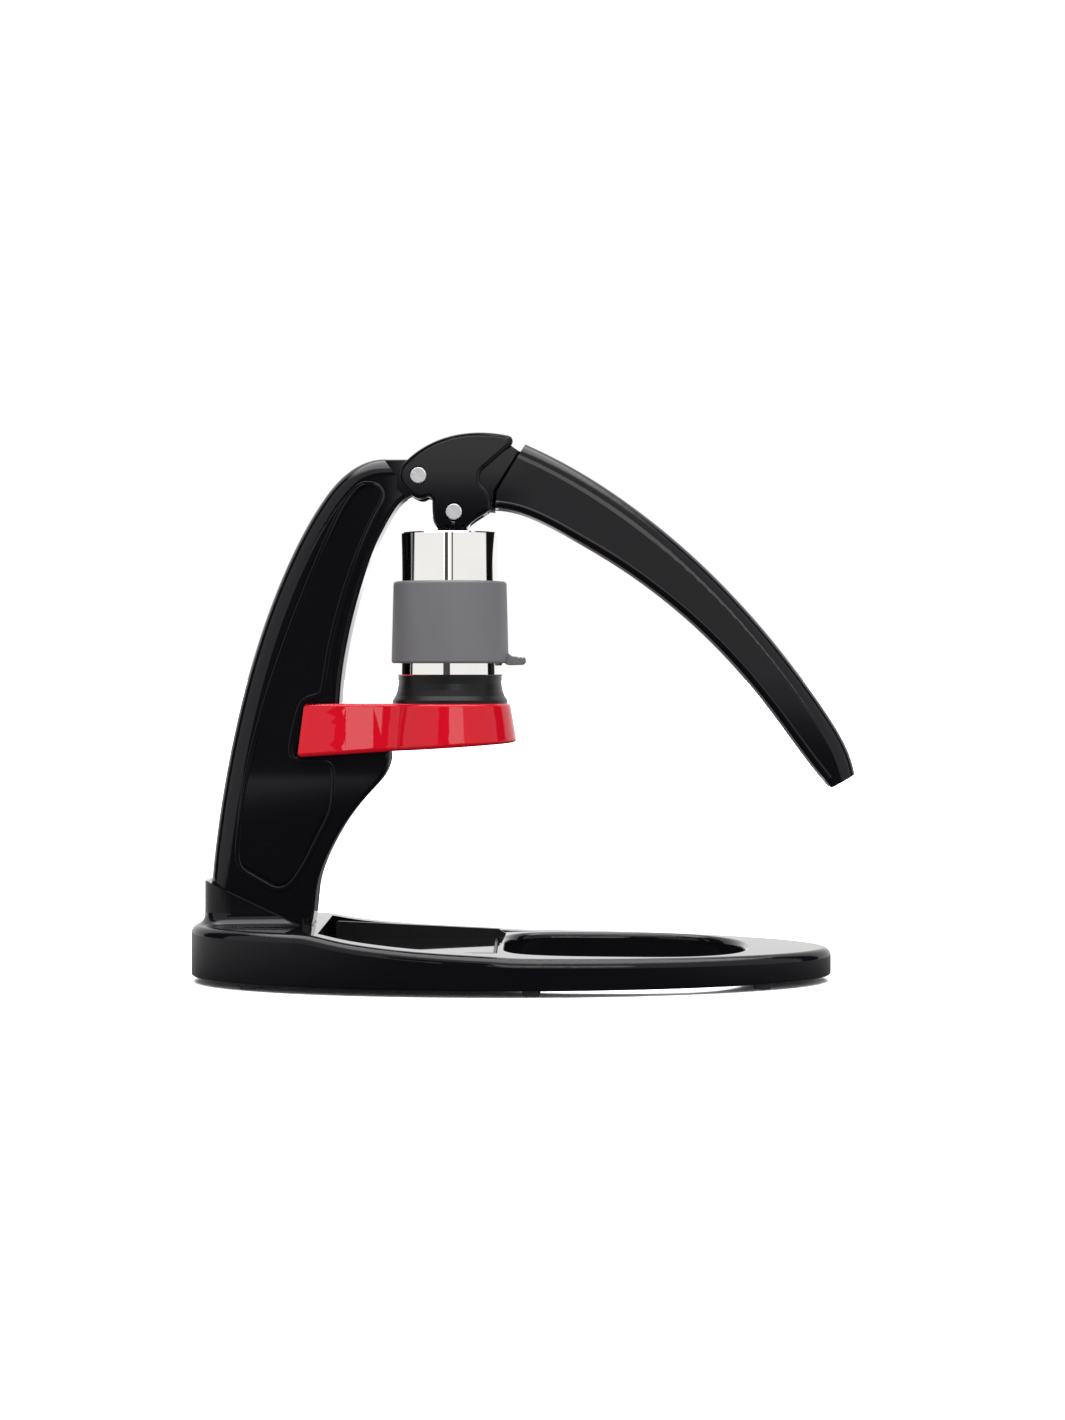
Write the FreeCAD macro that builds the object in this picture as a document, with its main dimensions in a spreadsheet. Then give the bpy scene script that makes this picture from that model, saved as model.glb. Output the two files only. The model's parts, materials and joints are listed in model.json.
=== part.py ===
import FreeCAD, Part
import Sketcher
import math
import os

# Lever espresso machine, modelled in millimetres. The origin is on the table, under the middle of
# the machine's box. +X points to the handle, +Y away from the viewer and +Z up.

Vector = FreeCAD.Vector
UP = Vector(0, 0, 1)
ACROSS = Vector(0, 1, 0)

doc = FreeCAD.newDocument("lever_espresso_machine")

# Driving sizes. Each is a cell of the sheet and is known by its alias.

DRIVING_SIZES = [
    ("base_rear", -159.2, "rear end of the base"),
    ("base_front", 148.1, "front end of the base"),
    ("base_width", 152.0, "full width of the base"),
    ("feet_height", 3.0, "rubber feet below the casting"),
    ("feet_radius", 4.5, "radius of a rubber foot"),
    ("plateau_top", 27.6, "top of the raised rear of the base"),
    ("ring_top", 17.6, "top of the ring beside the deck"),
    ("ring_front_top", 16.2, "top of the ring at its front end"),
    ("rim_rounding", 4.0, "rounding of the base's outer top edge"),
    ("hem_rounding", 1.2, "rounding of the base's outer lower edge"),
    ("ring_rounding", 2.6, "rounding of the ring round the large opening and the deck"),
    ("opening_rear", -8.5, "rear edge of the large opening"),
    ("opening_front", 106.0, "front edge of the large opening"),
    ("ring_side", 19.0, "width of the ring beside the large opening"),
    ("deck_rim", 15.0, "width of the rim beside the sunk deck"),
    ("post_rear", -149.6, "rear of the post at its foot"),
    ("post_front", -102.2, "front of the post at its foot"),
    ("post_foot_width", 31.0, "width of the post at its foot"),
    ("post_head_width", 23.0, "width of the post at its top"),
    ("post_rear_rounding", 8.5, "rounding of the post's rear edges"),
    ("post_rounding", 2.0, "rounding of the post's other long edges"),
    ("groove_width", 1.5, "width of the groove round the post's side panels"),
    ("groove_depth", 0.55, "depth of that groove"),
    ("post_sink", 5.0, "depth of the post's foot in the base"),
    ("crown_rise", 8.3, "rise of the post's top above the main pivot"),
    ("collar_wall", 2.8, "wall of the collar round the post's foot"),
    ("collar_rise", 20.9, "rise of the slanted collar above the plateau"),
    ("collar_fillet", 6.0, "fillet from the plateau up to the collar"),
    ("fit_gap", 0.15, "gap between fixed pieces that slip together"),
    ("pivot_back", 16.9, "main pivot behind the press foot's pivot"),
    ("pivot_rise", 17.35, "main pivot above the press foot's pivot"),
    ("pin_radius", 3.9, "radius of both pivot pins"),
    ("bush_wall", 1.3, "wall of the bushes round the main pin"),
    ("tongue_width", 13.0, "width of the post's tongue between the cheeks"),
    ("tongue_wall", 3.2, "wall of the tongue round the bushes"),
    ("cheek_play", 0.7, "gap between the tongue and each cheek"),
    ("cheek_thickness", 6.3, "thickness of each cheek of the lever head"),
    ("neck_width", 20.0, "width of the neck between head and handle"),
    ("foot_pin_ahead", 2.2, "press foot's pivot in front of the brewing axis"),
    ("foot_pin_rise", 8.7, "press foot's pivot above its underside"),
    ("foot_play", 0.5, "gap between the press foot and each cheek"),
    ("foot_length", 14.0, "length of the press foot's flat underside"),
    ("pad_thickness", 1.2, "hard pad under the press foot"),
    ("handle_width", 27.0, "width of the handle beside the head"),
    ("handle_tip_width", 21.0, "width of the handle at its tip"),
    ("handle_top_rounding", 8.0, "rounding of the handle's top edges"),
    ("handle_foot_rounding", 2.2, "rounding of the handle's lower edges"),
    ("handle_wall", 2.8, "wall of the handle's upper shell"),
    ("underside_depth", 3.6, "depth of the handle's lower shell"),
    ("cap_depth", 4.5, "depth of the handle's end cap"),
    ("core_width", 12.0, "width of the lever's core in the handle"),
    ("core_short", 36.0, "end of the lever's core short of the handle's end"),
    ("handle_start", 36.5, "start of the handle's underside in front of the main pivot"),
    ("handle_span", 172.4, "reach of the handle beyond its start"),
    ("handle_rise", 15.3, "rise of the handle's top above the main pivot"),
    ("handle_fall", 164.1, "fall of the handle from its start to its tip"),
    ("brew_x", -35.0, "axis of the brewing head"),
    ("holder_top", 133.2, "top of the holder"),
    ("holder_depth", 25.3, "depth of the holder at its rear end"),
    ("holder_rear", -104.0, "rear end of the holder at its top"),
    ("holder_draft", 0.17, "how much wider the holder gets for each millimetre down"),
    ("holder_prong_width", 34.0, "width over the holder's prongs at their top"),
    ("waist_fillet", 9.0, "fillet between the holder's waist and its ring"),
    ("holder_rounding", 1.8, "rounding of the holder's edges"),
    ("holder_slot", 24.0, "width between the holder's prongs"),
    ("prong_length", 16.7, "length of the prongs beside the post"),
    ("bore_radius", 20.0, "radius of the brewing bore"),
    ("basket_step", 1.2, "how much wider the coffee basket is than the bore"),
    ("basket_wall", 0.9, "wall of the coffee basket"),
    ("spigot_wall", 2.9, "wall of the portafilter inside the ring"),
    ("portafilter_wall", 3.3, "wall of the portafilter above the ring"),
    ("portafilter_flare", 2.8, "reach of the portafilter's flared foot beyond its wall"),
    ("portafilter_rise", 13.3, "rise of the portafilter above the holder"),
    ("portafilter_depth", 16.2, "depth of the portafilter below the holder's top"),
    ("floor_thickness", 5.0, "floor of the portafilter"),
    ("spout_radius", 4.85, "radius of the spout in the portafilter's floor"),
    ("running_gap", 0.3, "gap between pieces that turn or slip in each other"),
    ("ring_wall", 4.3, "wall of the holder's ring at its top"),
    ("cylinder_height", 68.5, "height of the brewing cylinder"),
    ("cylinder_foot_wall", 5.3, "wall of the cylinder at its foot"),
    ("cylinder_top_wall", 3.85, "wall of the cylinder at its top"),
    ("gasket_step", 2.4, "width of the gasket's seat beyond the bore"),
    ("gasket_depth", 3.0, "depth of the gasket's seat"),
    ("sleeve_lift", 5.8, "lower edge of the sleeve above the cylinder's foot"),
    ("sleeve_height", 39.3, "height of the sleeve"),
    ("sleeve_thickness", 3.0, "thickness of the sleeve"),
    ("tab_length", 8.2, "reach of the sleeve's tab beyond the sleeve"),
    ("tab_width", 11.0, "width of the sleeve's tab"),
    ("piston_lift", 3.5, "underside of the piston above the cylinder's foot at rest"),
    ("piston_height", 14.0, "height of the piston"),
    ("stem_radius", 5.0, "radius of the piston's stem"),
    ("stem_cap_radius", 6.0, "radius of the cap on the stem"),
    ("stem_cap_height", 6.0, "height of the cap on the stem"),
    ("press_lift", 0.7, "underside of the press foot above the cylinder at rest"),
    ("press_gap", 0.4, "gap between the press foot and the cap at rest"),
    ("tray_behind", 10.2, "rear edge of the drip tray in front of the post's foot"),
    ("tray_ahead", 3.5, "front edge of the drip tray behind the large opening"),
    ("tray_near", -47.0, "near edge of the drip tray"),
    ("tray_far", 31.5, "far edge of the drip tray"),
    ("tray_depth", 5.5, "depth of the drip tray in the deck"),
    ("tray_wall", 2.5, "thickness of the tray's raised far wall"),
    ("tray_wall_rear_rise", 8.0, "rise of the raised wall at its rear end above the ring"),
    ("tray_wall_front_rise", 4.2, "rise of the raised wall at its front end above the ring"),
    ("plate_thickness", 1.0, "steel plate on the drip tray"),
    ("screw_radius", 4.0, "radius of the post's fixing screw"),
    ("knob_radius", 17.0, "radius of the fixing screw's hand knob"),
    ("knob_height", 7.0, "height of the fixing screw's hand knob"),
    ("washer_thickness", 2.4, "washer over the hand knob"),
    ("washer_radius", 12.0, "radius of that washer"),
    ("knob_lift", 3.6, "underside of the hand knob above the table"),
    ("holder_screw_back", 28.0, "the holder's screws in front of its rear end"),
    ("holder_screw_spread", 6.0, "the holder's screws each side of the middle"),
    ("holder_screw_radius", 2.0, "radius of the holder's screws"),
    ("holder_screw_head", 3.5, "radius of their heads"),
    ("holder_screw_length", 21.0, "length of the holder's screws below their heads"),
    ("holder_screw_bite", 15.2, "tip of the holder's screws below its top"),
    ("handle_screw_radius", 1.4, "radius of the handle's screws"),
    ("handle_screw_head", 2.6, "radius of their heads"),
    ("handle_screw_length", 10.0, "length of the handle's screws"),
]

sheet = doc.addObject("Spreadsheet::Sheet", "Sizes")
for row, (alias, value, note) in enumerate(DRIVING_SIZES, start=1):
    sheet.set("A%d" % row, note)
    sheet.set("B%d" % row, str(value))
    sheet.setAlias("B%d" % row, alias)
doc.recompute()


def size(alias):
    """The value of one cell of the sheet."""
    return float(sheet.get(alias))


def value_of(expression):
    """The present value of an expression on the sheet's cells."""
    return float(sheet.evalExpression(expression))


# Places that follow from the driving sizes, as expressions on the sheet's cells.

BASKET_RADIUS = "(Sizes.bore_radius + Sizes.basket_step)"
SPIGOT_RADIUS = "(%s + Sizes.running_gap + Sizes.spigot_wall)" % BASKET_RADIUS
PORTAFILTER_RADIUS = "(%s + Sizes.running_gap + Sizes.portafilter_wall)" % BASKET_RADIUS
RING_RADIUS = "(%s + Sizes.running_gap + Sizes.ring_wall)" % SPIGOT_RADIUS
GASKET_RADIUS = "(Sizes.bore_radius + Sizes.gasket_step)"
CYLINDER_FOOT_RADIUS = "(Sizes.bore_radius + Sizes.cylinder_foot_wall)"
CYLINDER_TOP_RADIUS = "(Sizes.bore_radius + Sizes.cylinder_top_wall)"
PORTAFILTER_FLOOR = "(Sizes.holder_top - Sizes.portafilter_depth)"
PORTAFILTER_TOP = "(Sizes.holder_top + Sizes.portafilter_rise)"
CYLINDER_TOP = "(%s + Sizes.cylinder_height)" % PORTAFILTER_TOP
PISTON_LOW = "(%s + Sizes.piston_lift)" % PORTAFILTER_TOP
PISTON_TOP = "(%s + Sizes.piston_height)" % PISTON_LOW
STEM_FOOT = "(%s - 8)" % PISTON_TOP
PRESS_LEVEL = "(%s + Sizes.press_lift)" % CYLINDER_TOP
CAP_LOW = "(%s - Sizes.press_gap - Sizes.stem_cap_height)" % PRESS_LEVEL
FOOT_PIN_X = "(Sizes.brew_x + Sizes.foot_pin_ahead)"
FOOT_PIN_Z = "(%s + Sizes.foot_pin_rise)" % PRESS_LEVEL
PIVOT_X = "(%s - Sizes.pivot_back)" % FOOT_PIN_X
PIVOT_Z = "(%s + Sizes.pivot_rise)" % FOOT_PIN_Z

foot_pin_x, foot_pin_z = value_of(FOOT_PIN_X), value_of(FOOT_PIN_Z)
pivot_x, pivot_z = value_of(PIVOT_X), value_of(PIVOT_Z)
post_top = pivot_z + size("crown_rise")
post_middle = (size("post_rear") + size("post_front")) / 2
collar_top = size("plateau_top") + size("collar_rise")
bush_radius = size("pin_radius") + size("bush_wall")
tongue_radius = bush_radius + size("tongue_wall")
cheek_gap = size("tongue_width") + 2 * size("cheek_play")
head_width = cheek_gap + 2 * size("cheek_thickness")
slot_end = size("holder_rear") + size("prong_length")
tray_rear = size("post_front") + size("tray_behind")
tray_front = size("opening_rear") - size("tray_ahead")

parts = {}


def keep(name, item):
    """Label a finished sub-part with its node's name."""
    item.Label = name
    parts[name] = item
    return item


def keep_shape(name, shape):
    """A sub-part whose shape is made with Part's functions."""
    item = doc.addObject("Part::Feature", name)
    item.Shape = shape
    item.Placement = FreeCAD.Placement()
    return keep(name, item)


# Helpers for turned pieces: a sketch of half the section, spun about the brewing axis or another.

def turned(name, outline, axis_x="Sizes.brew_x"):
    """A body turned from an outline of (radius, height) expressions."""
    body = doc.addObject("PartDesign::Body", name)
    sketch = body.newObject("Sketcher::SketchObject", name + "_section")
    plane = [f for f in body.Origin.OriginFeatures if f.Role == "XZ_Plane"][0]
    sketch.AttachmentSupport = (plane, "")
    sketch.MapMode = "FlatFace"
    corners = [Vector(value_of(radius), value_of(height), 0) for radius, height in outline]
    count = len(corners)
    for index in range(count):
        sketch.addGeometry(Part.LineSegment(corners[index], corners[(index + 1) % count]), False)
    for index in range(count):
        following = (index + 1) % count
        sketch.addConstraint(Sketcher.Constraint("Coincident", index, 2, following, 1))
    for index, (radius, height) in enumerate(outline):
        if radius == "0":
            sketch.addConstraint(Sketcher.Constraint("PointOnObject", index, 1, -2))
        else:
            across = sketch.addConstraint(
                Sketcher.Constraint("DistanceX", -1, 1, index, 1, corners[index].x))
            sketch.setExpression("Constraints[%d]" % across, radius)
        along = sketch.addConstraint(
            Sketcher.Constraint("DistanceY", -1, 1, index, 1, corners[index].y))
        sketch.setExpression("Constraints[%d]" % along, height)
    spin = body.newObject("PartDesign::Revolution", name + "_turn")
    spin.Profile = sketch
    spin.ReferenceAxis = (sketch, ["V_Axis"])
    spin.Angle = 360
    body.Tip = spin
    body.setExpression("Placement.Base.x", axis_x)
    doc.recompute()
    return keep(name, body)


# Helpers for shapes drawn in the side view (the XZ plane) and in plan (the XY plane).

def side_point(x, z):
    return Vector(x, 0, z)


def spline(points):
    """A smooth edge through points."""
    curve = Part.BSplineCurve()
    curve.interpolate(points)
    return curve.toShape()


def line(start, end):
    return Part.makeLine(start, end)


def arc(start, middle, end):
    return Part.Arc(start, middle, end).toShape()


def prism_across(edges, half_width):
    """A solid from a closed side outline, as far to +Y as to -Y."""
    face = Part.Face(Part.Wire(Part.__sortEdges__(edges)))
    face.translate(Vector(0, -half_width, 0))
    return face.extrude(Vector(0, 2 * half_width, 0))


def polygon_across(corners, half_width):
    """A solid from straight-sided side corners given as (x, z)."""
    points = [side_point(x, z) for x, z in corners]
    face = Part.Face(Part.makePolygon(points + points[:1]))
    face.translate(Vector(0, -half_width, 0))
    return face.extrude(Vector(0, 2 * half_width, 0))


def plan_polygon(corners, low, high):
    """A solid from straight-sided plan corners given as (x, y)."""
    points = [Vector(x, y, low) for x, y in corners]
    return Part.Face(Part.makePolygon(points + points[:1])).extrude(Vector(0, 0, high - low))


def box(low, high):
    return Part.makeBox(high[0] - low[0], high[1] - low[1], high[2] - low[2], Vector(*low))


def rod_across(x, z, radius, half_length):
    """A cylinder along Y."""
    return Part.makeCylinder(radius, 2 * half_length, Vector(x, -half_length, z), ACROSS)


def rod_up(x, y, radius, low, high):
    """A cylinder along Z."""
    return Part.makeCylinder(radius, high - low, Vector(x, y, low), UP)


def rounded_plan(rear, front, half_width, rear_radius, front_radius, level):
    """A closed plan outline: a rectangle with its own corner radii at the rear and the front."""
    quarter = math.sqrt(0.5)
    corners = [
        (front, half_width, front_radius, -1, -1),
        (rear, half_width, rear_radius, 1, -1),
        (rear, -half_width, rear_radius, 1, 1),
        (front, -half_width, front_radius, -1, 1),
    ]
    edges = []
    ends = []
    for x, y, radius, inward_x, inward_y in corners:
        centre = Vector(x + inward_x * radius, y + inward_y * radius, level)
        along_x = Vector(centre.x, y, level)
        along_y = Vector(x, centre.y, level)
        middle = centre - Vector(inward_x * radius * quarter, inward_y * radius * quarter, 0)
        edges.append(arc(along_x, middle, along_y))
        ends.append((along_x, along_y))
    edges.append(line(ends[0][0], ends[1][0]))
    edges.append(line(ends[1][1], ends[2][1]))
    edges.append(line(ends[2][0], ends[3][0]))
    edges.append(line(ends[3][1], ends[0][1]))
    return Part.Wire(Part.__sortEdges__(edges))


def oval_plan(rear, front, half_width, rear_power, front_power, level, steps=40):
    """A closed oval by the formula |u|^p + |v|^p = 1, with one power for each end."""
    middle = (rear + front) / 2
    half_length = (front - rear) / 2
    points = []
    for step in range(steps):
        turn = 2 * math.pi * step / steps
        along, beside = math.cos(turn), math.sin(turn)
        power = front_power if along > 0 else rear_power
        x = middle + math.copysign(abs(along) ** (2 / power), along) * half_length
        y = math.copysign(abs(beside) ** (2 / power), beside) * half_width
        points.append(Vector(x, y, level))
    curve = Part.BSplineCurve()
    curve.interpolate(Points=points, PeriodicFlag=True)
    return Part.Wire([curve.toShape()])


def tall(wire, low, high):
    """A solid that stands on a plan outline drawn at any level."""
    face = Part.Face(wire)
    face.translate(Vector(0, 0, low - face.BoundBox.ZMin))
    return face.extrude(Vector(0, 0, high - low))


def rounded(shape, radius, wanted):
    """Round the edges that pass a test."""
    return shape.makeFillet(radius, [edge for edge in shape.Edges if wanted(edge)])


def middle_of(edge):
    return edge.valueAt((edge.FirstParameter + edge.LastParameter) / 2)


# The base: an oval ring, raised at the rear, with a sunk deck for the drip tray, a large opening
# in front, a collar round the post's foot and a recess below for the fixing screw's knob.

RIM_FALL = [
    (0.0, 0.0), (0.055, 0.04), (0.15, 0.25), (0.29, 0.49), (0.39, 0.61), (0.59, 0.78), (0.81, 0.92),
    (1.0, 1.0)]


def top_slope(lift):
    """The base's top in the side view, from the rear to the front, raised by lift."""
    plateau, ring, front = size("plateau_top"), size("ring_top"), size("ring_front_top")
    fall_start = size("post_front") - 2
    fall_end = size("opening_rear") + 18
    slope = [
        (fall_start + along * (fall_end - fall_start), plateau - down * (plateau - ring) + lift)
        for along, down in RIM_FALL]
    return [(size("base_rear") - 1, plateau + lift)] + slope + [
        (size("base_front") + 1, front + lift)]


def below_top(low, lift=0.0):
    """Everything between a level and the base's sloping top."""
    slope = [side_point(x, z) for x, z in top_slope(lift)]
    first, last = slope[0], slope[-1]
    foot_rear = side_point(first.x, low)
    foot_front = side_point(last.x, low)
    curve = Part.BSplineCurve()
    curve.interpolate(Points=slope[1:-1], InitialTangent=Vector(1, 0, 0),
                      FinalTangent=(last - slope[-2]).normalize())
    edges = [
        line(first, slope[1]),
        curve.toShape(),
        line(slope[-2], last),
        line(last, foot_front),
        line(foot_front, foot_rear),
        line(foot_rear, first),
    ]
    return prism_across(edges, size("base_width"))


def base_casting():
    underside = size("feet_height")
    half_width = size("base_width") / 2
    rear, front = size("base_rear"), size("base_front")
    high = collar_top + 10
    outline = oval_plan(rear, front, half_width, 2.15, 1.95, underside)
    solid = tall(outline, underside, high).common(below_top(underside))
    solid = rounded(
        solid, size("rim_rounding"),
        lambda edge: edge.BoundBox.ZMin > underside + 5 and edge.Length > 100)
    solid = rounded(
        solid, size("hem_rounding"),
        lambda edge: edge.BoundBox.ZMax < underside + 0.01 and edge.Length > 100)

    opening = oval_plan(size("opening_rear"), size("opening_front"),
                        half_width - size("ring_side"), 4.2, 2.5, 0)
    solid = solid.cut(tall(opening, underside - 1, high))

    rim = size("deck_rim")
    deck_outline = oval_plan(rear + rim, front - rim, half_width - rim, 2.15, 1.95, 0)
    deck_rear = size("post_front") + 7
    deck = tall(deck_outline, size("ring_top"), high)
    solid = solid.cut(deck.common(box((deck_rear, -half_width, 0), (front, half_width, high))))

    solid = rounded(
        solid, size("ring_rounding"),
        lambda edge: edge.BoundBox.ZMin > underside + 8 and edge.BoundBox.XMin > deck_rear + 2
        and middle_of(edge).x > size("opening_rear") + 0.5 and edge.Length > 60)

    gap = size("fit_gap")
    tray_floor = size("ring_top") - size("tray_depth")
    solid = solid.cut(box(
        (tray_rear - gap, size("tray_near") - gap, tray_floor),
        (tray_front + gap, size("tray_far") + gap, high)))
    return solid


def post_foot_plan(wider, level):
    """The post's foot in plan, made wider all round."""
    half = size("post_foot_width") / 2
    return rounded_plan(
        size("post_rear") - wider, size("post_front") + wider, half + wider,
        half * 0.7 + wider, 2.5 + wider, level)


def collar():
    """The collar with its slanted top and the low plinth in front of it."""
    low = size("plateau_top") - 6
    high = collar_top
    plateau = size("plateau_top")
    rear = size("post_rear") - size("collar_wall")
    blank = tall(post_foot_plan(size("collar_wall"), low), low, high)
    slant = polygon_across(
        [(rear - 5, low), (rear - 5, high), (rear + 2, high),
         (rear + 46, plateau), (size("post_front") + 10, plateau), (size("post_front") + 10, low)],
        size("post_foot_width"))
    plinth = tall(post_foot_plan(1.6, low), low, plateau + 3.4)
    return blank.common(slant).fuse(plinth)


def post_socket(solid):
    """Cut the room for the post's foot, with the same gap all round it."""
    gap = size("fit_gap")
    foot = rounded_post().common(box(
        (size("base_rear"), -size("base_width"), 0),
        (size("base_front"), size("base_width"), collar_top + 5)))
    for along in (-gap, gap):
        for beside in (-gap, gap):
            solid = solid.cut(foot.translated(Vector(along, beside, 0)))
    return solid


def finished_base():
    solid = base_casting().fuse(collar())
    solid = solid.removeSplitter()
    rear = size("post_rear") - size("collar_wall")
    solid = rounded(
        solid, size("collar_fillet"),
        lambda edge: abs(edge.BoundBox.ZMax - size("plateau_top")) < 0.01
        and abs(edge.BoundBox.ZMin - size("plateau_top")) < 0.01
        and edge.BoundBox.XMin < rear + 0.1 and edge.BoundBox.YLength < size("post_foot_width") + 12)
    solid = post_socket(solid)
    recess = size("knob_lift") + size("knob_height") + size("washer_thickness")
    solid = solid.cut(rod_up(post_middle, 0, size("knob_radius") + 4, 0, recess))
    return solid.cut(rod_up(post_middle, 0, size("screw_radius") + 0.3, 0, size("plateau_top")))


# The post: a side outline extruded between two sides that lean together towards the top.

def leaning_sides(inset):
    """A tall wedge across the post's width: its two sides lean in by inset more than the post's."""
    low = size("plateau_top") - size("post_sink") - 10
    high = post_top + 30
    lean = (size("post_foot_width") - size("post_head_width")) / 2 / (
        post_top - size("plateau_top"))
    foot = size("post_foot_width") / 2 - inset - lean * (low - size("plateau_top"))
    head = size("post_foot_width") / 2 - inset - lean * (high - size("plateau_top"))
    corners = [(-foot, low), (foot, low), (head, high), (-head, high)]
    rear = size("post_rear") - 20
    points = [Vector(rear, y, z) for y, z in corners]
    return Part.Face(Part.makePolygon(points + points[:1])).extrude(Vector(150, 0, 0))


def holder_underside(x):
    """Height of the holder's sloping underside."""
    return size("holder_top") - size("holder_depth") + 0.065 * (x - size("holder_rear"))


def on_post(along, up):
    """A point of the side view, from its shares of the way from the post's foot to the pivot."""
    x = size("post_rear") + along * (pivot_x - size("post_rear"))
    z = size("plateau_top") + up * (post_top - size("plateau_top"))
    return side_point(x, z)


POST_BACK = [
    (0.004, 0.0648), (0.0311, 0.1906), (0.1031, 0.3848), (0.2113, 0.579), (0.3714, 0.7728),
    (0.5265, 0.9022), (0.6446, 0.9655), (0.7508, 0.9938), (0.8408, 1.0)]
POST_SHOULDER = [
    (0.9129, 0.9054), (0.8579, 0.8694), (0.7898, 0.8083), (0.7387, 0.7426), (0.6967, 0.6775),
    (0.6627, 0.6118), (0.6376, 0.5462)]
POST_BELLY = [
    (0.8299, 0.3169), (0.7657, 0.2841), (0.6497, 0.2184), (0.5686, 0.1528), (0.5175, 0.0872)]


def post_outline():
    """Edges of the post's side outline, clockwise from its foot's rear."""
    sole = size("plateau_top") - size("post_sink")
    rear, front = size("post_rear"), size("post_front")
    back = [side_point(rear, sole)] + [on_post(*place) for place in POST_BACK]
    arm_top = side_point(pivot_x - 3.5, post_top)
    arm_nose = side_point(pivot_x + tongue_radius, pivot_z)
    arm_foot = side_point(pivot_x - 2.0, pivot_z - tongue_radius - 0.1)
    shoulder = [on_post(*place) for place in POST_SHOULDER]
    shoulder.append(side_point(slot_end, size("holder_top")))
    corbel = size("brew_x") - value_of(RING_RADIUS) + 0.6
    seat_rear = side_point(slot_end, holder_underside(slot_end))
    seat_front = side_point(corbel, holder_underside(corbel))
    belly = [side_point(corbel, holder_underside(corbel) - 4.1)]
    belly += [on_post(*place) for place in POST_BELLY]
    belly.append(side_point(front + 2.6, size("plateau_top") + 4.9))
    belly.append(side_point(front, sole))
    return [
        spline(back),
        line(back[-1], arm_top),
        arc(arm_top, arm_nose, arm_foot),
        spline([arm_foot] + shoulder),
        line(shoulder[-1], seat_rear),
        line(seat_rear, seat_front),
        line(seat_front, belly[0]),
        spline(belly),
        line(belly[-1], back[0]),
    ]


PANEL_REAR = [
    (0.7518, 0.9503), (0.6386, 0.8888), (0.5615, 0.8347), (0.4575, 0.7472), (0.4024, 0.6721),
    (0.3263, 0.5786), (0.2192, 0.3987), (0.1522, 0.2625), (0.1251, 0.1605)]
PANEL_FOOT = [
    (0.1381, 0.13), (0.3423, 0.0773), (0.4404, 0.1097), (0.5155, 0.1951), (0.5906, 0.2527),
    (0.5946, 0.3435)]
PANEL_FRONT = [
    (0.6036, 0.4846), (0.6066, 0.5773), (0.6547, 0.6788), (0.7017, 0.7418), (0.7708, 0.8258),
    (0.8569, 0.9099)]
PANEL_CROWN = (0.8218, 0.944)


def drawn_in(points, inset):
    """Corners of a closed outline, each moved inwards along the bisector of its two sides."""
    moved = []
    count = len(points)
    for index, point in enumerate(points):
        before = (point - points[index - 1]).normalize()
        after = (points[(index + 1) % count] - point).normalize()
        beside = Vector(before.z, 0, -before.x) + Vector(after.z, 0, -after.x)
        beside = beside.normalize()
        share = beside.dot(Vector(before.z, 0, -before.x))
        moved.append(point - beside * (inset / share))
    return moved


def panel_outline(inset):
    """The panel on the post's side, as a closed side outline, drawn in by inset."""
    points = [on_post(*place) for place in PANEL_REAR + PANEL_FOOT + PANEL_FRONT + [PANEL_CROWN]]
    points = drawn_in(points, inset)
    crown = points.pop()
    rear = points[:len(PANEL_REAR)]
    foot = points[len(PANEL_REAR):len(PANEL_REAR) + len(PANEL_FOOT)]
    front = points[len(PANEL_REAR) + len(PANEL_FOOT):]
    edges = [spline(rear), line(rear[-1], foot[0])]
    for start, end in zip(foot, foot[1:]):
        edges.append(line(start, end))
    edges.append(line(foot[-1], front[0]))
    edges.append(spline(front))
    edges.append(arc(front[-1], crown, rear[0]))
    return Part.Wire(Part.__sortEdges__(edges))


def prism_from(wire, half_width):
    face = Part.Face(wire)
    face.translate(Vector(0, -half_width, 0))
    return face.extrude(Vector(0, 2 * half_width, 0))


def rounded_post():
    """Round the post's rear edges widely and its other edges lightly, before the cuts."""
    solid = prism_across(post_outline(), size("post_foot_width")).common(leaning_sides(0))
    rear = size("post_rear")
    long = 0.7 * (post_top - size("plateau_top"))
    solid = rounded(
        solid, size("post_rear_rounding"),
        lambda edge: edge.Length > long and edge.BoundBox.XMin < rear + 1
        and edge.BoundBox.YLength > 1)
    return rounded(
        solid, size("post_rounding"),
        lambda edge: edge.Length > 0.4 * long and edge.BoundBox.XMin > rear + 30
        and 0.5 < edge.BoundBox.YLength < 8)


def cheek_room():
    """The room that the cheeks sweep through beside the post's tongue."""
    half_tongue = size("tongue_width") / 2
    wide = size("post_foot_width")
    swing = tongue_radius + 1.9
    room = rod_across(pivot_x, pivot_z, swing, wide)
    room = room.fuse(polygon_across([
        (pivot_x - swing - 0.5, pivot_z - 6), (pivot_x - swing - 0.5, pivot_z),
        (pivot_x - swing - 6.5, post_top), (pivot_x - swing - 12, post_top + 12),
        (pivot_x + 20, post_top + 12), (pivot_x + 20, pivot_z - 14), (pivot_x - 2, pivot_z - 14),
    ], wide))
    return room.cut(box((pivot_x - 100, -half_tongue, 0), (pivot_x + 100, half_tongue, 2 * post_top)))


def prong_pockets():
    """The pockets in the post's sides that the holder's prongs lie in."""
    gap = 0.3
    rear = size("holder_rear") - 0.6
    beyond = size("brew_x")
    half_slot = size("holder_slot") / 2 - size("fit_gap")
    top = size("holder_top") + gap
    pocket = polygon_across([
        (rear - 4.0, holder_underside(rear - 4.0) - gap), (beyond, holder_underside(beyond) - gap),
        (beyond, top), (rear, top)], size("post_foot_width"))
    return pocket.cut(box((rear - 50, -half_slot, 0), (beyond + 50, half_slot, 2 * top)))


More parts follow.
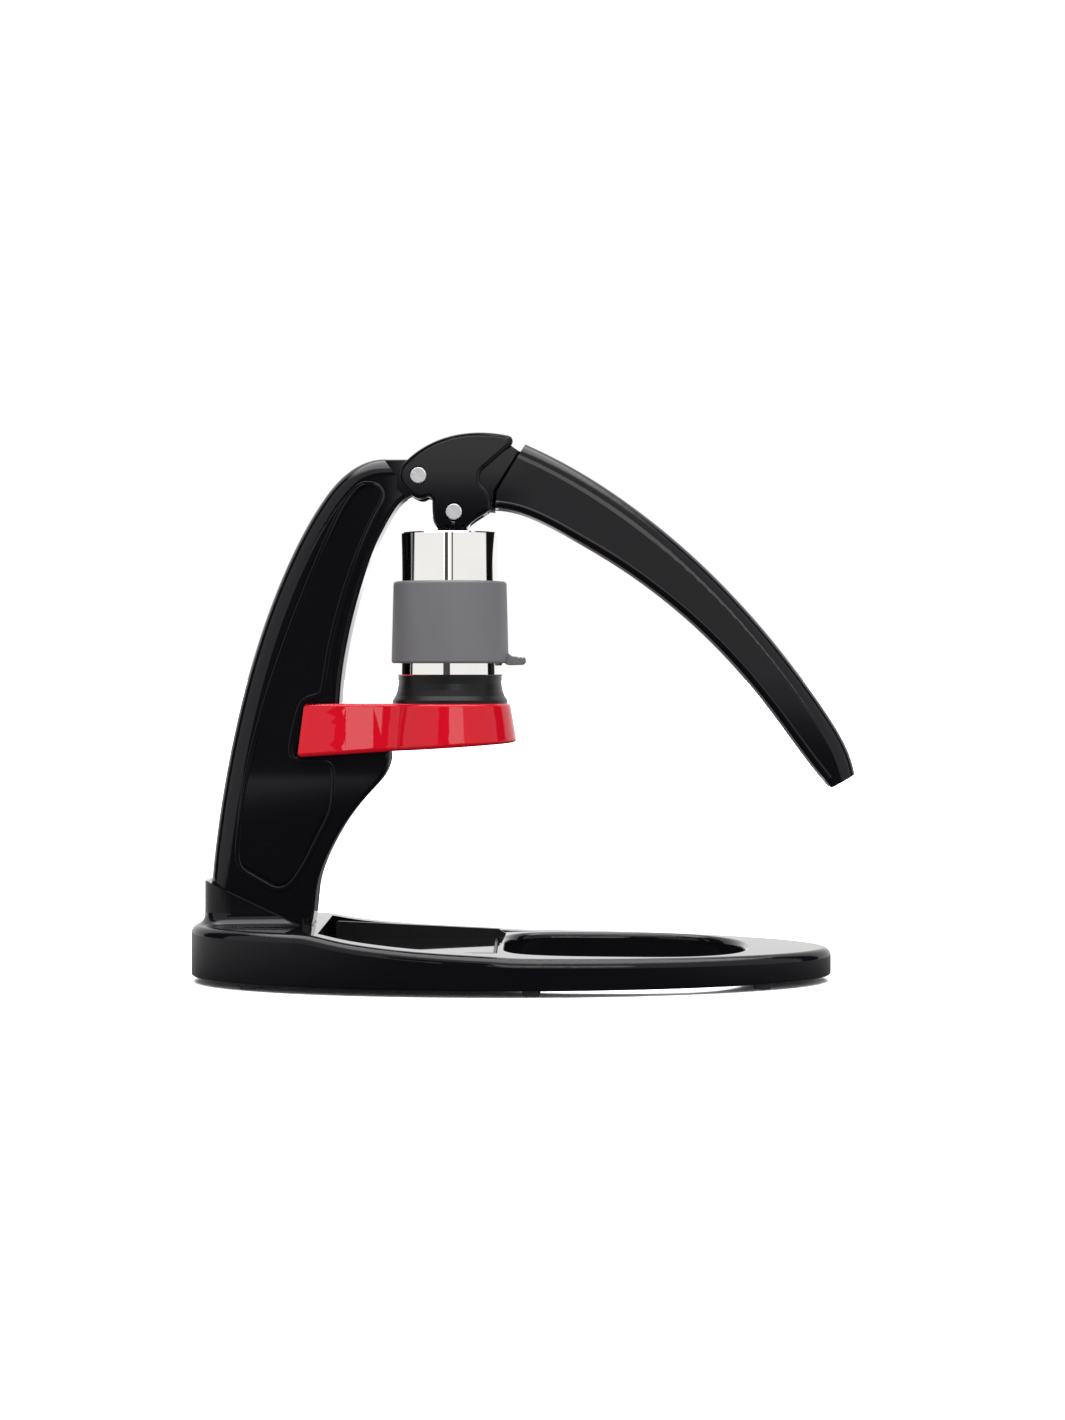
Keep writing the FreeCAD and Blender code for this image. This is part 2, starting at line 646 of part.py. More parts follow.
def holder_screw_places():
    """Where the two screws stand that rise through the post's corbel into the holder."""
    along = size("holder_rear") + size("holder_screw_back")
    return [(along, -size("holder_screw_spread")), (along, size("holder_screw_spread"))]


screw_tip = size("holder_top") - size("holder_screw_bite")
screw_seat = screw_tip - size("holder_screw_length")


def finished_post():
    solid = rounded_post()
    solid = solid.cut(cheek_room())
    wide = size("post_foot_width")
    groove = prism_from(panel_outline(0), wide)
    groove = groove.cut(prism_from(panel_outline(size("groove_width")), wide + 1))
    solid = solid.cut(groove.cut(leaning_sides(size("groove_depth"))))
    solid = solid.cut(prong_pockets())
    solid = solid.cut(rod_across(pivot_x, pivot_z, bush_radius, wide))
    solid = solid.cut(rod_up(post_middle, 0, size("screw_radius"), 0, size("plateau_top") + 22))
    for x, y in holder_screw_places():
        shank = size("holder_screw_radius") + 0.1
        head = size("holder_screw_head") + 0.3
        solid = solid.cut(rod_up(x, y, shank, screw_seat - 1, screw_tip + 10))
        solid = solid.cut(rod_up(x, y, head, screw_seat - 40, screw_seat))
    return solid


keep_shape("base_casting", finished_base())
keep_shape("post_casting", finished_post())


# The holder: two prongs in pockets of the post, a waist, and a ring round the brewing head.

def holder():
    high = size("holder_top")
    depth = size("holder_depth") + 8
    low = high - depth
    draft = size("holder_draft") * depth
    brew = size("brew_x")
    ring_radius = value_of(RING_RADIUS)
    ring = Part.makeCone(ring_radius + draft, ring_radius, depth, Vector(brew, 0, low), UP)

    def arm_plan(level):
        wider = size("holder_draft") * (high - level)
        rear = size("holder_rear")
        half = size("holder_prong_width") / 2 + wider
        waist = half - 1.5
        corners = [(rear - 0.7 * wider, half), (rear + 20, half), (rear + 33, waist),
                   (brew - 15, waist)]
        points = [Vector(x, y, level) for x, y in corners]
        points += [Vector(x, -y, level) for x, y in reversed(corners)]
        return Part.makePolygon(points + points[:1])

    arm = Part.makeLoft([arm_plan(low), arm_plan(high)], True, True)
    solid = ring.fuse(arm).removeSplitter()
    solid = rounded(
        solid, size("waist_fillet"),
        lambda edge: edge.BoundBox.ZLength > depth - 1
        and brew - 31 < middle_of(edge).x < brew - 15 and abs(middle_of(edge).y) > 5)
    rear, front = size("holder_rear") - 26, brew + 55
    keep_above = polygon_across([
        (rear, holder_underside(rear)), (front, holder_underside(front)),
        (front, high + 60), (rear, high + 60)], 80)
    solid = solid.common(keep_above)
    solid = rounded(
        solid, size("holder_rounding"),
        lambda edge: edge.BoundBox.ZMin > high - 0.01 or edge.BoundBox.ZMax < high - 15)
    half_slot = size("holder_slot") / 2
    solid = solid.cut(box((rear, -half_slot, low - 10), (slot_end, half_slot, high + 10)))
    bore = value_of(SPIGOT_RADIUS) + size("running_gap")
    solid = solid.cut(rod_up(brew, 0, bore, low - 10, high + 10))
    for x, y in holder_screw_places():
        solid = solid.cut(rod_up(x, y, size("holder_screw_radius") + 0.1, low - 10, screw_tip + 0.5))
    return solid


keep_shape("brew_holder", holder())


def holder_screws():
    """Two socket screws, as separate solids."""
    pair = []
    head_height = 3.4
    for x, y in holder_screw_places():
        shank = rod_up(x, y, size("holder_screw_radius"), screw_seat, screw_tip)
        head = rod_up(x, y, size("holder_screw_head"), screw_seat - head_height, screw_seat)
        socket = rod_up(x, y, 1.5, screw_seat - 4.0, screw_seat - 1.6)
        pair.append(shank.fuse(head).cut(socket))
    return Part.makeCompound(pair)


keep_shape("holder_screws", holder_screws())


# The brewing head, turned about its own upright axis.

PORTAFILTER_FOOT = "(%s + Sizes.portafilter_flare)" % PORTAFILTER_RADIUS
CUP_RADIUS = "(%s + Sizes.running_gap)" % BASKET_RADIUS
CUP_FLOOR = "(%s + Sizes.floor_thickness)" % PORTAFILTER_FLOOR

turned("portafilter_body", [
    ("Sizes.spout_radius + Sizes.fit_gap", PORTAFILTER_FLOOR),
    (SPIGOT_RADIUS, PORTAFILTER_FLOOR),
    (SPIGOT_RADIUS, "Sizes.holder_top"),
    (PORTAFILTER_FOOT, "Sizes.holder_top"),
    (PORTAFILTER_FOOT, "Sizes.holder_top + 0.12 * Sizes.portafilter_rise"),
    (PORTAFILTER_RADIUS + " + 1.5", "Sizes.holder_top + 0.27 * Sizes.portafilter_rise"),
    (PORTAFILTER_RADIUS + " + 0.5", "Sizes.holder_top + 0.48 * Sizes.portafilter_rise"),
    (PORTAFILTER_RADIUS, "Sizes.holder_top + 0.71 * Sizes.portafilter_rise"),
    (PORTAFILTER_RADIUS, PORTAFILTER_TOP),
    (CUP_RADIUS, PORTAFILTER_TOP),
    (CUP_RADIUS, CUP_FLOOR),
    ("Sizes.spout_radius + Sizes.fit_gap", CUP_FLOOR),
])

turned("portafilter_spout", [
    ("Sizes.spout_radius - 2.25", PORTAFILTER_FLOOR + " - 1.5"),
    ("Sizes.spout_radius - 0.65", PORTAFILTER_FLOOR + " - 1.5"),
    ("Sizes.spout_radius", PORTAFILTER_FLOOR),
    ("Sizes.spout_radius", CUP_FLOOR + " - 0.5"),
    ("Sizes.spout_radius - 2.25", CUP_FLOOR + " - 0.5"),
])

turned("coffee_basket", [
    ("0", CUP_FLOOR),
    (BASKET_RADIUS, CUP_FLOOR),
    (BASKET_RADIUS, PORTAFILTER_TOP + " - 0.5"),
    (BASKET_RADIUS + " - Sizes.basket_wall", PORTAFILTER_TOP + " - 0.5"),
    (BASKET_RADIUS + " - Sizes.basket_wall", CUP_FLOOR + " + Sizes.basket_wall"),
    ("0", CUP_FLOOR + " + Sizes.basket_wall"),
])

turned("dispersion_screen", [
    ("0", PORTAFILTER_TOP + " - 0.5"),
    (BASKET_RADIUS + " - 0.1", PORTAFILTER_TOP + " - 0.5"),
    (BASKET_RADIUS + " - 0.1", PORTAFILTER_TOP + " + 0.5"),
    ("0", PORTAFILTER_TOP + " + 0.5"),
])

turned("basket_gasket", [
    ("Sizes.bore_radius - 0.5", PORTAFILTER_TOP + " + 0.5"),
    (GASKET_RADIUS + " - 0.2", PORTAFILTER_TOP + " + 0.5"),
    (GASKET_RADIUS + " - 0.2", PORTAFILTER_TOP + " + Sizes.gasket_depth - 0.1"),
    ("Sizes.bore_radius - 0.5", PORTAFILTER_TOP + " + Sizes.gasket_depth - 0.1"),
])

turned("brew_cylinder", [
    (GASKET_RADIUS, PORTAFILTER_TOP),
    (CYLINDER_FOOT_RADIUS + " - 0.5", PORTAFILTER_TOP),
    (CYLINDER_FOOT_RADIUS, PORTAFILTER_TOP + " + 0.5"),
    (CYLINDER_TOP_RADIUS, CYLINDER_TOP + " - 0.6"),
    (CYLINDER_TOP_RADIUS + " - 0.6", CYLINDER_TOP),
    ("Sizes.bore_radius + 1.4", CYLINDER_TOP),
    ("Sizes.bore_radius", CYLINDER_TOP + " - 1.4"),
    ("Sizes.bore_radius", PORTAFILTER_TOP + " + Sizes.gasket_depth"),
    (GASKET_RADIUS, PORTAFILTER_TOP + " + Sizes.gasket_depth"),
])


def cylinder_radius_at(level):
    """Outer radius of the conical cylinder at a level."""
    foot, top = value_of(CYLINDER_FOOT_RADIUS), value_of(CYLINDER_TOP_RADIUS)
    share = (level - value_of(PORTAFILTER_TOP)) / size("cylinder_height")
    return foot + share * (top - foot)


def sleeve():
    """The soft sleeve, with a pull tab at its lower edge towards the handle's side."""
    low = value_of(PORTAFILTER_TOP) + size("sleeve_lift")
    high = low + size("sleeve_height")
    thickness = size("sleeve_thickness")
    brew = size("brew_x")
    foot_radius = cylinder_radius_at(low) + thickness
    outside = Part.makeCone(
        foot_radius, cylinder_radius_at(high) + thickness, high - low, Vector(brew, 0, low), UP)
    outside = outside.makeFillet(1.1, [e for e in outside.Edges if e.Closed and e.Length > 20])
    start, rim = brew + foot_radius - 8, brew + foot_radius
    tip = rim + size("tab_length")
    half = size("tab_width") / 2
    tilt = polygon_across([
        (start, low + 0.4), (rim + 1, low - 0.2), (tip + 1, low - 1.2),
        (tip + 1, low + 2.2), (rim + 2, low + 4.1), (start, low + 5.0)], 20)
    tab = tall(rounded_plan(start, tip, half, 0.5, half - 0.5, 0), low - 2, low + 8).common(tilt)
    gap = size("fit_gap")
    beyond = 3
    inside = Part.makeCone(
        cylinder_radius_at(low - beyond) + gap, cylinder_radius_at(high + beyond) + gap,
        high - low + 2 * beyond, Vector(brew, 0, low - beyond), UP)
    return outside.fuse(tab).cut(inside)


keep_shape("cylinder_sleeve", sleeve())

PISTON_RADIUS = "(Sizes.bore_radius - 0.3)"
GROOVE_RADIUS = "(Sizes.bore_radius - 2.6)"
STEM_SPIGOT = "(Sizes.stem_radius - 1.6)"

turned("piston", [
    ("0", PISTON_LOW),
    (PISTON_RADIUS + " - 0.7", PISTON_LOW),
    (PISTON_RADIUS, PISTON_LOW + " + 0.7"),
    (PISTON_RADIUS, PISTON_LOW + " + 2.4"),
    (GROOVE_RADIUS, PISTON_LOW + " + 2.4"),
    (GROOVE_RADIUS, PISTON_LOW + " + 5.0"),
    (PISTON_RADIUS, PISTON_LOW + " + 5.0"),
    (PISTON_RADIUS, PISTON_TOP + " - 5.0"),
    (GROOVE_RADIUS, PISTON_TOP + " - 5.0"),
    (GROOVE_RADIUS, PISTON_TOP + " - 2.4"),
    (PISTON_RADIUS, PISTON_TOP + " - 2.4"),
    (PISTON_RADIUS, PISTON_TOP + " - 0.7"),
    (PISTON_RADIUS + " - 0.7", PISTON_TOP),
    (STEM_SPIGOT + " + 0.1", PISTON_TOP),
    (STEM_SPIGOT + " + 0.1", STEM_FOOT),
    ("0", STEM_FOOT),
])


def piston_ring(level):
    """A ring of round section in a groove of the piston."""
    thick = 1.2
    middle_radius = size("bore_radius") - 0.06 - thick
    return Part.makeTorus(middle_radius, thick, Vector(size("brew_x"), 0, level), UP)


keep_shape("piston_rings", Part.makeCompound([
    piston_ring(value_of(PISTON_LOW + " + 3.7")),
    piston_ring(value_of(PISTON_TOP + " - 3.7")),
]))

CAP_SOCKET = "(Sizes.stem_radius - 2)"

turned("piston_stem", [
    ("0", STEM_FOOT),
    (STEM_SPIGOT, STEM_FOOT),
    (STEM_SPIGOT, PISTON_TOP),
    ("Sizes.stem_radius", PISTON_TOP),
    ("Sizes.stem_radius", CAP_LOW),
    (CAP_SOCKET, CAP_LOW),
    (CAP_SOCKET, CAP_LOW + " + 3"),
    ("0", CAP_LOW + " + 3"),
])

turned("stem_cap", [
    ("0", CAP_LOW + " + 3"),
    (CAP_SOCKET + " + 0.1", CAP_LOW + " + 3"),
    (CAP_SOCKET + " + 0.1", CAP_LOW),
    ("Sizes.stem_cap_radius - 0.5", CAP_LOW),
    ("Sizes.stem_cap_radius", CAP_LOW + " + 0.5"),
    ("Sizes.stem_cap_radius", CAP_LOW + " + Sizes.stem_cap_height - 1.2"),
    ("Sizes.stem_cap_radius - 1.2", CAP_LOW + " + Sizes.stem_cap_height"),
    ("0", CAP_LOW + " + Sizes.stem_cap_height"),
])

# The drip tray and what fixes and carries the base.

def drip_tray():
    near, far = size("tray_near"), size("tray_far")
    top = size("ring_top")
    floor_low = top - size("tray_depth")
    solid = box((tray_rear, near, floor_low), (tray_front, far, top))
    solid = solid.makeFillet(1.2, [e for e in solid.Edges if e.BoundBox.ZMin > top - 0.01])
    rear_top = top + size("tray_wall_rear_rise")
    front_top = top + size("tray_wall_front_rise")
    wall = polygon_across([
        (tray_rear, floor_low), (tray_rear, rear_top - 1), (tray_rear + 1, rear_top),
        (tray_front, front_top), (tray_front + 2.6, front_top - 1.6), (tray_front + 3.6, top + 2.0),
        (tray_front + 3.0, top + 0.1), (tray_front, top + 0.1), (tray_front, floor_low),
    ], size("tray_wall") / 2)
    wall.translate(Vector(0, far - size("tray_wall") / 2, 0))
    low, high = plate_corners(0)
    return solid.fuse(wall).cut(box(low, (high[0], high[1], top + 5)))


def plate_corners(gap):
    """Two opposite corners of the steel plate's seat, drawn in by gap."""
    rim = 3.0
    top = size("ring_top")
    low = (tray_rear + rim + gap, size("tray_near") + rim + gap, top - size("plate_thickness"))
    far = size("tray_far") - size("tray_wall") - 1
    return low, (tray_front - rim / 2 - gap, far - gap, top)


keep_shape("drip_tray", drip_tray())


def drip_plate():
    return box(*plate_corners(size("fit_gap")))


keep_shape("drip_plate", drip_plate())


def post_screw():
    """The screw that holds the post from below, with its hand knob in one piece."""
    low = size("knob_lift")
    high = low + size("knob_height")
    radius = size("knob_radius")
    knob = rod_up(post_middle, 0, radius, low, high)
    lobes = 8
    notch = radius / 4
    reach = radius + notch / 2
    for lobe in range(lobes):
        turn = 2 * math.pi * lobe / lobes
        x, y = post_middle + reach * math.cos(turn), reach * math.sin(turn)
        knob = knob.cut(rod_up(x, y, notch, low - 1, high + 1))
    tip = size("plateau_top") + 14
    return knob.fuse(rod_up(post_middle, 0, size("screw_radius") - 0.1, high, tip))


keep_shape("post_screw", post_screw())


def post_washer():
    low = size("knob_lift") + size("knob_height")
    high = low + size("washer_thickness")
    ring = rod_up(post_middle, 0, size("washer_radius"), low, high)
    return ring.cut(rod_up(post_middle, 0, size("screw_radius") + 0.1, low - 1, high + 1))


keep_shape("post_washer", post_washer())


def base_feet():
    """Six rubber feet, in two rows along the ring."""
    half_width = size("base_width") / 2
    rear, front = size("base_rear"), size("base_front")
    places = [
        (rear + 31.2, half_width / 2),
        (size("opening_rear") + 12.5, half_width - 9.5),
        (front - 36.1, half_width / 2),
    ]
    feet = []
    for x, y in places:
        for side in (-1, 1):
            feet.append(Part.makeCone(
                size("feet_radius") - 0.6, size("feet_radius"), size("feet_height"),
                Vector(x, side * y, 0), UP))
    return feet


keep_shape("base_feet", Part.makeCompound(base_feet()))


# The lever: a head with two cheeks, a neck and a core inside the handle, all one casting.

def from_pivot(x, z):
    """A point of the side view, measured from the main pivot."""
    return side_point(pivot_x + x, pivot_z + z)


def from_foot_pin(x, z):
    """A point of the side view, measured from the press foot's pivot."""
    return side_point(foot_pin_x + x, foot_pin_z + z)


CHEEK_CROWN = [(-5.7, 7.1), (3.8, 14.2), (12.3, 17.9), (25.0, 20.3), (37.6, 19.9), (42.8, 19.0)]


def cheek_outline():
    """Side outline of the two cheeks, clockwise from the lobe round the main pivot."""
    start = from_pivot(-6.5, -6.3)
    crown = [from_pivot(*place) for place in CHEEK_CROWN]
    nose = from_pivot(43.8, 14.1)
    hollow_top = from_pivot(31.7, 3.6)
    hollow_foot = from_pivot(30.5, -4.7)
    right_foot = from_foot_pin(17.4, 1.2)
    sole = 0.6 - size("foot_pin_rise")
    sole_right = from_foot_pin(5.7, sole)
    sole_left = from_foot_pin(-7.1, sole)
    lobe_left = from_foot_pin(-10.3, 4.2)
    notch = from_foot_pin(-12.9, 7.2)
    return [
        arc(start, from_pivot(-9.4, 0.4), crown[0]),
        spline(crown),
        arc(crown[-1], from_pivot(44.9, 16.6), nose),
        line(nose, hollow_top),
        arc(hollow_top, from_pivot(29.2, -0.3), hollow_foot),
        spline([hollow_foot, from_pivot(33.1, -7.7), from_pivot(34.4, -12.2), right_foot]),
        spline([right_foot, from_foot_pin(13.2, -1.7), from_foot_pin(8.9, -4.6), sole_right]),
        line(sole_right, sole_left),
        spline([sole_left, from_foot_pin(-9.5, -4.0), from_foot_pin(-10.2, 0.3), lobe_left]),
        arc(lobe_left, from_foot_pin(-10.8, 6.4), notch),
        spline([notch, from_pivot(0.8, -11.2), from_pivot(-2.9, -9.7), start]),
    ]


# The handle's two long edges, in shares of its reach beyond its start and of its fall.

HANDLE_TOP = [
    (0.0841, 0.0), (0.2077, 0.064), (0.3196, 0.1359), (0.431, 0.2206), (0.5423, 0.3187),
    (0.6543, 0.4333), (0.7657, 0.5649), (0.877, 0.7172), (0.9327, 0.802), (0.9838, 0.9013),
    (1.0, 0.961)]
HANDLE_FOOT = [
    (0.0, 0.1877), (0.0476, 0.1944), (0.0963, 0.2108), (0.2077, 0.27), (0.3196, 0.3388),
    (0.431, 0.4193), (0.5423, 0.5149), (0.6543, 0.6307), (0.7657, 0.7703), (0.877, 0.9287),
    (0.9327, 1.0)]
handle_start_x = pivot_x + size("handle_start")
handle_top_z = pivot_z + size("handle_rise")
handle_tip_x = handle_start_x + size("handle_span")


def on_handle(along, down):
    """A point of the side view, from its shares of the handle's reach and fall."""
    return side_point(handle_start_x + along * size("handle_span"),
                      handle_top_z - down * size("handle_fall"))


def handle_curve(points, inset):
    """One long edge of the handle's side outline, moved inwards by inset."""
    curve = Part.BSplineCurve()
    curve.interpolate([on_handle(*place) for place in points])
    if not inset:
        return curve
    steps = 14
    moved = []
    for step in range(steps + 1):
        place = curve.FirstParameter + step / steps * (curve.LastParameter - curve.FirstParameter)
        point = curve.value(place)
        along = curve.tangent(place)[0]
        downhill = Vector(along.z, 0, -along.x)
        if downhill.z > 0:
            downhill = downhill * -1
        moved.append(point + downhill * inset)
    parallel = Part.BSplineCurve()
    parallel.interpolate(moved)
    return parallel


def handle_side(top_inset, foot_inset, half_width):
    """A solid across the handle between its top and its foot, each moved in by its own inset."""
    top = handle_curve(HANDLE_TOP, top_inset)
    foot = handle_curve(HANDLE_FOOT, -foot_inset)
    top_start, top_end = top.StartPoint, top.EndPoint
    foot_start, foot_end = foot.StartPoint, foot.EndPoint
    knee = side_point(foot_start.x + 0.9, foot_start.z + 8.0)
    edges = [
        top.toShape(),
        line(top_end, foot_end),
        foot.toShape(),
        line(foot_start, knee),
        line(knee, top_start),
    ]
    return prism_across(edges, half_width)


def handle_taper(narrower):
    """Two sides that lean together towards the handle's tip, seen in plan."""
    start_half = size("handle_width") / 2 - narrower
    end_half = size("handle_tip_width") / 2 - narrower
    rear, front = handle_start_x - 7, handle_tip_x + 1
    return plan_polygon(
        [(rear, start_half), (front, end_half), (front, -end_half), (rear, -start_half)],
        handle_top_z - size("handle_fall") - 20, handle_top_z + 20)


def handle_blank():
    """The handle's outer form, with its rounded edges, before it is divided."""
    solid = handle_side(0, 0, size("handle_width")).common(handle_taper(0))
    divide = handle_top_z - 0.45 * size("handle_fall")
    solid = rounded(
        solid, size("handle_top_rounding"),
        lambda edge: edge.Length > 0.8 * size("handle_span") and middle_of(edge).z > divide)
    return rounded(
        solid, size("handle_foot_rounding"),
        lambda edge: edge.Length > 0.8 * size("handle_span") and middle_of(edge).z < divide
        and edge.BoundBox.YLength > 1)


def end_region(depth):
    """Everything beyond a plane that lies depth short of the handle's end face."""
    top = on_handle(*HANDLE_TOP[-1])
    foot = on_handle(*HANDLE_FOOT[-1])
    face = (foot - top).normalize()
    outward = Vector(-face.z, 0, face.x)
    if outward.x < 0:
        outward = outward * -1
    start = top - face * 20 - outward * depth
    end = foot + face * 20 - outward * depth
    far_start, far_end = start + outward * 60, end + outward * 60
    corners = [(p.x, p.z) for p in (start, end, far_end, far_start)]
    return polygon_across(corners, size("handle_width"))


def handle_screw_places():
    """Start and direction of the three screws that rise from the handle's underside."""
    foot = handle_curve(HANDLE_FOOT, 0)
    places = []
    for share in (0.30, 0.55, 0.80):
        place = foot.FirstParameter + share * (foot.LastParameter - foot.FirstParameter)
        along = foot.tangent(place)[0]
        inward = Vector(-along.z, 0, along.x)
        if inward.z < 0:
            inward = inward * -1
        places.append((foot.value(place), inward))
    return places


NECK = [
    (26.1, 15.5), (43.6, 14.7), (47.5, 11.9), (56.1, 8.1), (56.1, -16.1), (46.1, -15.1),
    (37.1, -16.7), (28.6, -16.1), (28.1, -2.7)]


def lever_head():
    half_gap = cheek_gap / 2
    wide = head_width
    cheeks = prism_across(cheek_outline(), head_width / 2)
    inner = prism_across(cheek_outline(), half_gap)
    swing = rod_across(foot_pin_x, foot_pin_z, 14.0, half_gap)
    hollow = rod_across(pivot_x, pivot_z, tongue_radius + 2.6, half_gap).fuse(swing)
    hollow = hollow.fuse(polygon_across([
        (pivot_x, pivot_z - 16), (foot_pin_x - 12, foot_pin_z - 12),
        (foot_pin_x + 12, foot_pin_z - 12), (foot_pin_x + 12, foot_pin_z + 3),
        (foot_pin_x + 2, foot_pin_z + 13), (pivot_x + 10.5, pivot_z + 2),
        (pivot_x + 15.0, pivot_z + 25), (pivot_x - 25, pivot_z + 25), (pivot_x - 25, pivot_z - 16),
    ], half_gap))
    web = inner.cut(hollow)
    between = box((pivot_x - 50, -half_gap, pivot_z - 60), (pivot_x + 110, half_gap, pivot_z + 40))
    solid = cheeks.cut(between).fuse(web)

    neck = polygon_across([(pivot_x + x, pivot_z + z) for x, z in NECK], size("neck_width") / 2)
    neck = neck.cut(swing).cut(handle_side(-2.0, -2.0, wide)).cut(handle_side(0, 0, wide))
    core = handle_side(size("handle_wall") + 2.2, size("underside_depth") + 2.0,
                       size("core_width") / 2)
    core = core.cut(end_region(size("core_short")))
    solid = solid.fuse(neck).fuse(core)
    for x, z in ((pivot_x, pivot_z), (foot_pin_x, foot_pin_z)):
        solid = solid.cut(rod_across(x, z, size("pin_radius") + 0.03, wide))
    for point, inward in handle_screw_places():
        hole = size("handle_screw_radius") + 0.1
        solid = solid.cut(Part.makeCylinder(hole, size("handle_screw_length") + 2, point, inward))
    return solid


keep_shape("lever_head", lever_head())


def handle_pieces():
    """The upper shell, the underside and the end cap of the handle."""
    outer = handle_blank()
    wide = size("handle_width")
    cap_depth, wall, depth = size("cap_depth"), size("handle_wall"), size("underside_depth")
    below = handle_side(0, 0, wide).cut(handle_side(0, depth, wide))
    lower = outer.common(below).cut(end_region(cap_depth))
    channel = handle_side(wall, depth - 0.01, wide).common(handle_taper(wall))
    channel = channel.cut(end_region(cap_depth + wall))
    upper = outer.cut(below).cut(end_region(cap_depth)).cut(channel)
    core_room = handle_side(wall + 1.0, depth + 1.0, size("core_width") / 2 + 1.2)
    core_room = core_room.cut(box(
        (handle_start_x + 21, -wide, 0), (handle_tip_x + 100, wide, 2 * handle_top_z)))
    upper = upper.cut(core_room)
    cap = outer.common(end_region(cap_depth))
    for point, inward in handle_screw_places():
        hole, head = size("handle_screw_radius") + 0.1, size("handle_screw_head") + 0.1
        lower = lower.cut(Part.makeCylinder(hole, 12, point, inward))
        lower = lower.cut(Part.makeCylinder(head, 1.8, point, inward))
    return upper, lower, cap


upper_shell, lower_shell, end_cap = handle_pieces()
keep_shape("handle_shell", upper_shell)
keep_shape("handle_underside", lower_shell)
keep_shape("handle_end_cap", end_cap)


def pin_across(name, x, z):
    pin = rod_across(x, z, size("pin_radius"), head_width / 2 + 0.1)
    pin = pin.makeFillet(0.5, [e for e in pin.Edges if e.Closed])
    return keep_shape(name, pin)


pin_across("main_pivot_pin", pivot_x, pivot_z)
pin_across("press_foot_pin", foot_pin_x, foot_pin_z)


def pivot_bushes():
    """Two flanged bushes, one in each side of the post's tongue."""
    half = size("tongue_width") / 2
    apart = 0.3
    bore_radius = size("pin_radius") + 0.06
    pair = []
    for side in (-1, 1):
        outward = Vector(0, side, 0)
        barrel = Part.makeCylinder(
            bush_radius, half - apart, Vector(pivot_x, side * apart, pivot_z), outward)
        flange = Part.makeCylinder(
            bush_radius + size("bush_wall"), 0.5, Vector(pivot_x, side * half, pivot_z), outward)
        bore = Part.makeCylinder(bore_radius, half + 4, Vector(pivot_x, 0, pivot_z), outward)
        pair.append(barrel.fuse(flange).cut(bore))
    return Part.makeCompound(pair)


keep_shape("pivot_bushes", pivot_bushes())

foot_width = cheek_gap - 2 * size("foot_play")


def press_foot():
    """The foot between the cheeks, which stays level and bears on the piston's cap."""
    sole = size("pad_thickness") - size("foot_pin_rise")
    half_length = size("foot_length") / 2
    rear, front = -half_length - 0.9, half_length - 0.9
    outline = [
        line(from_foot_pin(rear, sole), from_foot_pin(front, sole)),
        spline([from_foot_pin(front, sole), from_foot_pin(8.6, -3.0), from_foot_pin(8.2, 3.0)]),
        arc(from_foot_pin(8.2, 3.0), from_foot_pin(0, 8.7), from_foot_pin(-8.2, 3.0)),
        spline([from_foot_pin(-8.2, 3.0), from_foot_pin(-10.2, -2.0), from_foot_pin(rear, sole)]),
    ]
    foot = prism_across(outline, foot_width / 2)
    bore = size("pin_radius") + 0.06
    return foot.cut(rod_across(foot_pin_x, foot_pin_z, bore, foot_width))


keep_shape("press_foot", press_foot())


def foot_pad():
    """The thin hard-wearing pad under the press foot."""
    x = foot_pin_x - 0.9
    half_length = size("foot_length") / 2
    low = value_of(PRESS_LEVEL)
    pad = box((x - half_length, -foot_width / 2, low),
              (x + half_length, foot_width / 2, low + size("pad_thickness")))
    return pad.makeFillet(0.5, [e for e in pad.Edges if e.BoundBox.ZMax < low + 0.01])


keep_shape("foot_pad", foot_pad())


def handle_screws():
    """Three screws from below that join the handle's underside to the lever's core."""
    screws = []
    for point, inward in handle_screw_places():
        foot = point + inward * 0.4
        head = Part.makeCylinder(size("handle_screw_head"), 1.4, foot, inward)
        shank = Part.makeCylinder(
            size("handle_screw_radius"), size("handle_screw_length"), foot, inward)
        drive = Part.makeCylinder(0.9, 0.9, point, inward)
        screws.append(head.fuse(shank).cut(drive))
    return screws


keep_shape("handle_screws", Part.makeCompound(handle_screws()))


def check_and_write():
    """Check every object and sub-part, then write one STEP file for each node."""
    doc.recompute()
    for item in doc.Objects:
        if "Invalid" in item.State or "Error" in item.State:
            raise ValueError("%s is in state %s" % (item.Label, item.State))
    for name, item in parts.items():
        if item.Shape.isNull() or not item.Shape.isValid():
            raise ValueError("%s has no valid shape" % name)
    os.makedirs("parts", exist_ok=True)
    whole = FreeCAD.BoundBox()
    for name, item in parts.items():
        item.Shape.exportStep("parts/%s.step" % name)
        whole.add(item.Shape.BoundBox)
        print("%-20s %2d solids %10.1f mm3" % (name, len(item.Shape.Solids), item.Shape.Volume))
    print("box x %.2f to %.2f, y %.2f to %.2f, z %.2f to %.2f" % (
        whole.XMin, whole.XMax, whole.YMin, whole.YMax, whole.ZMin, whole.ZMax))


check_and_write()
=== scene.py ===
# %% [markdown]
# A small lever espresso machine, dressed over its packed construction.
# The construction gives every rigid piece at its true place. This lesson adds the paint, the metal,
# the rubber and the finer forms, then the table, the studio light and the camera.

# %% Load the frame
import json
import math

import bmesh
import bpy
from mathutils import Matrix, Vector
from mathutils.bvhtree import BVHTree


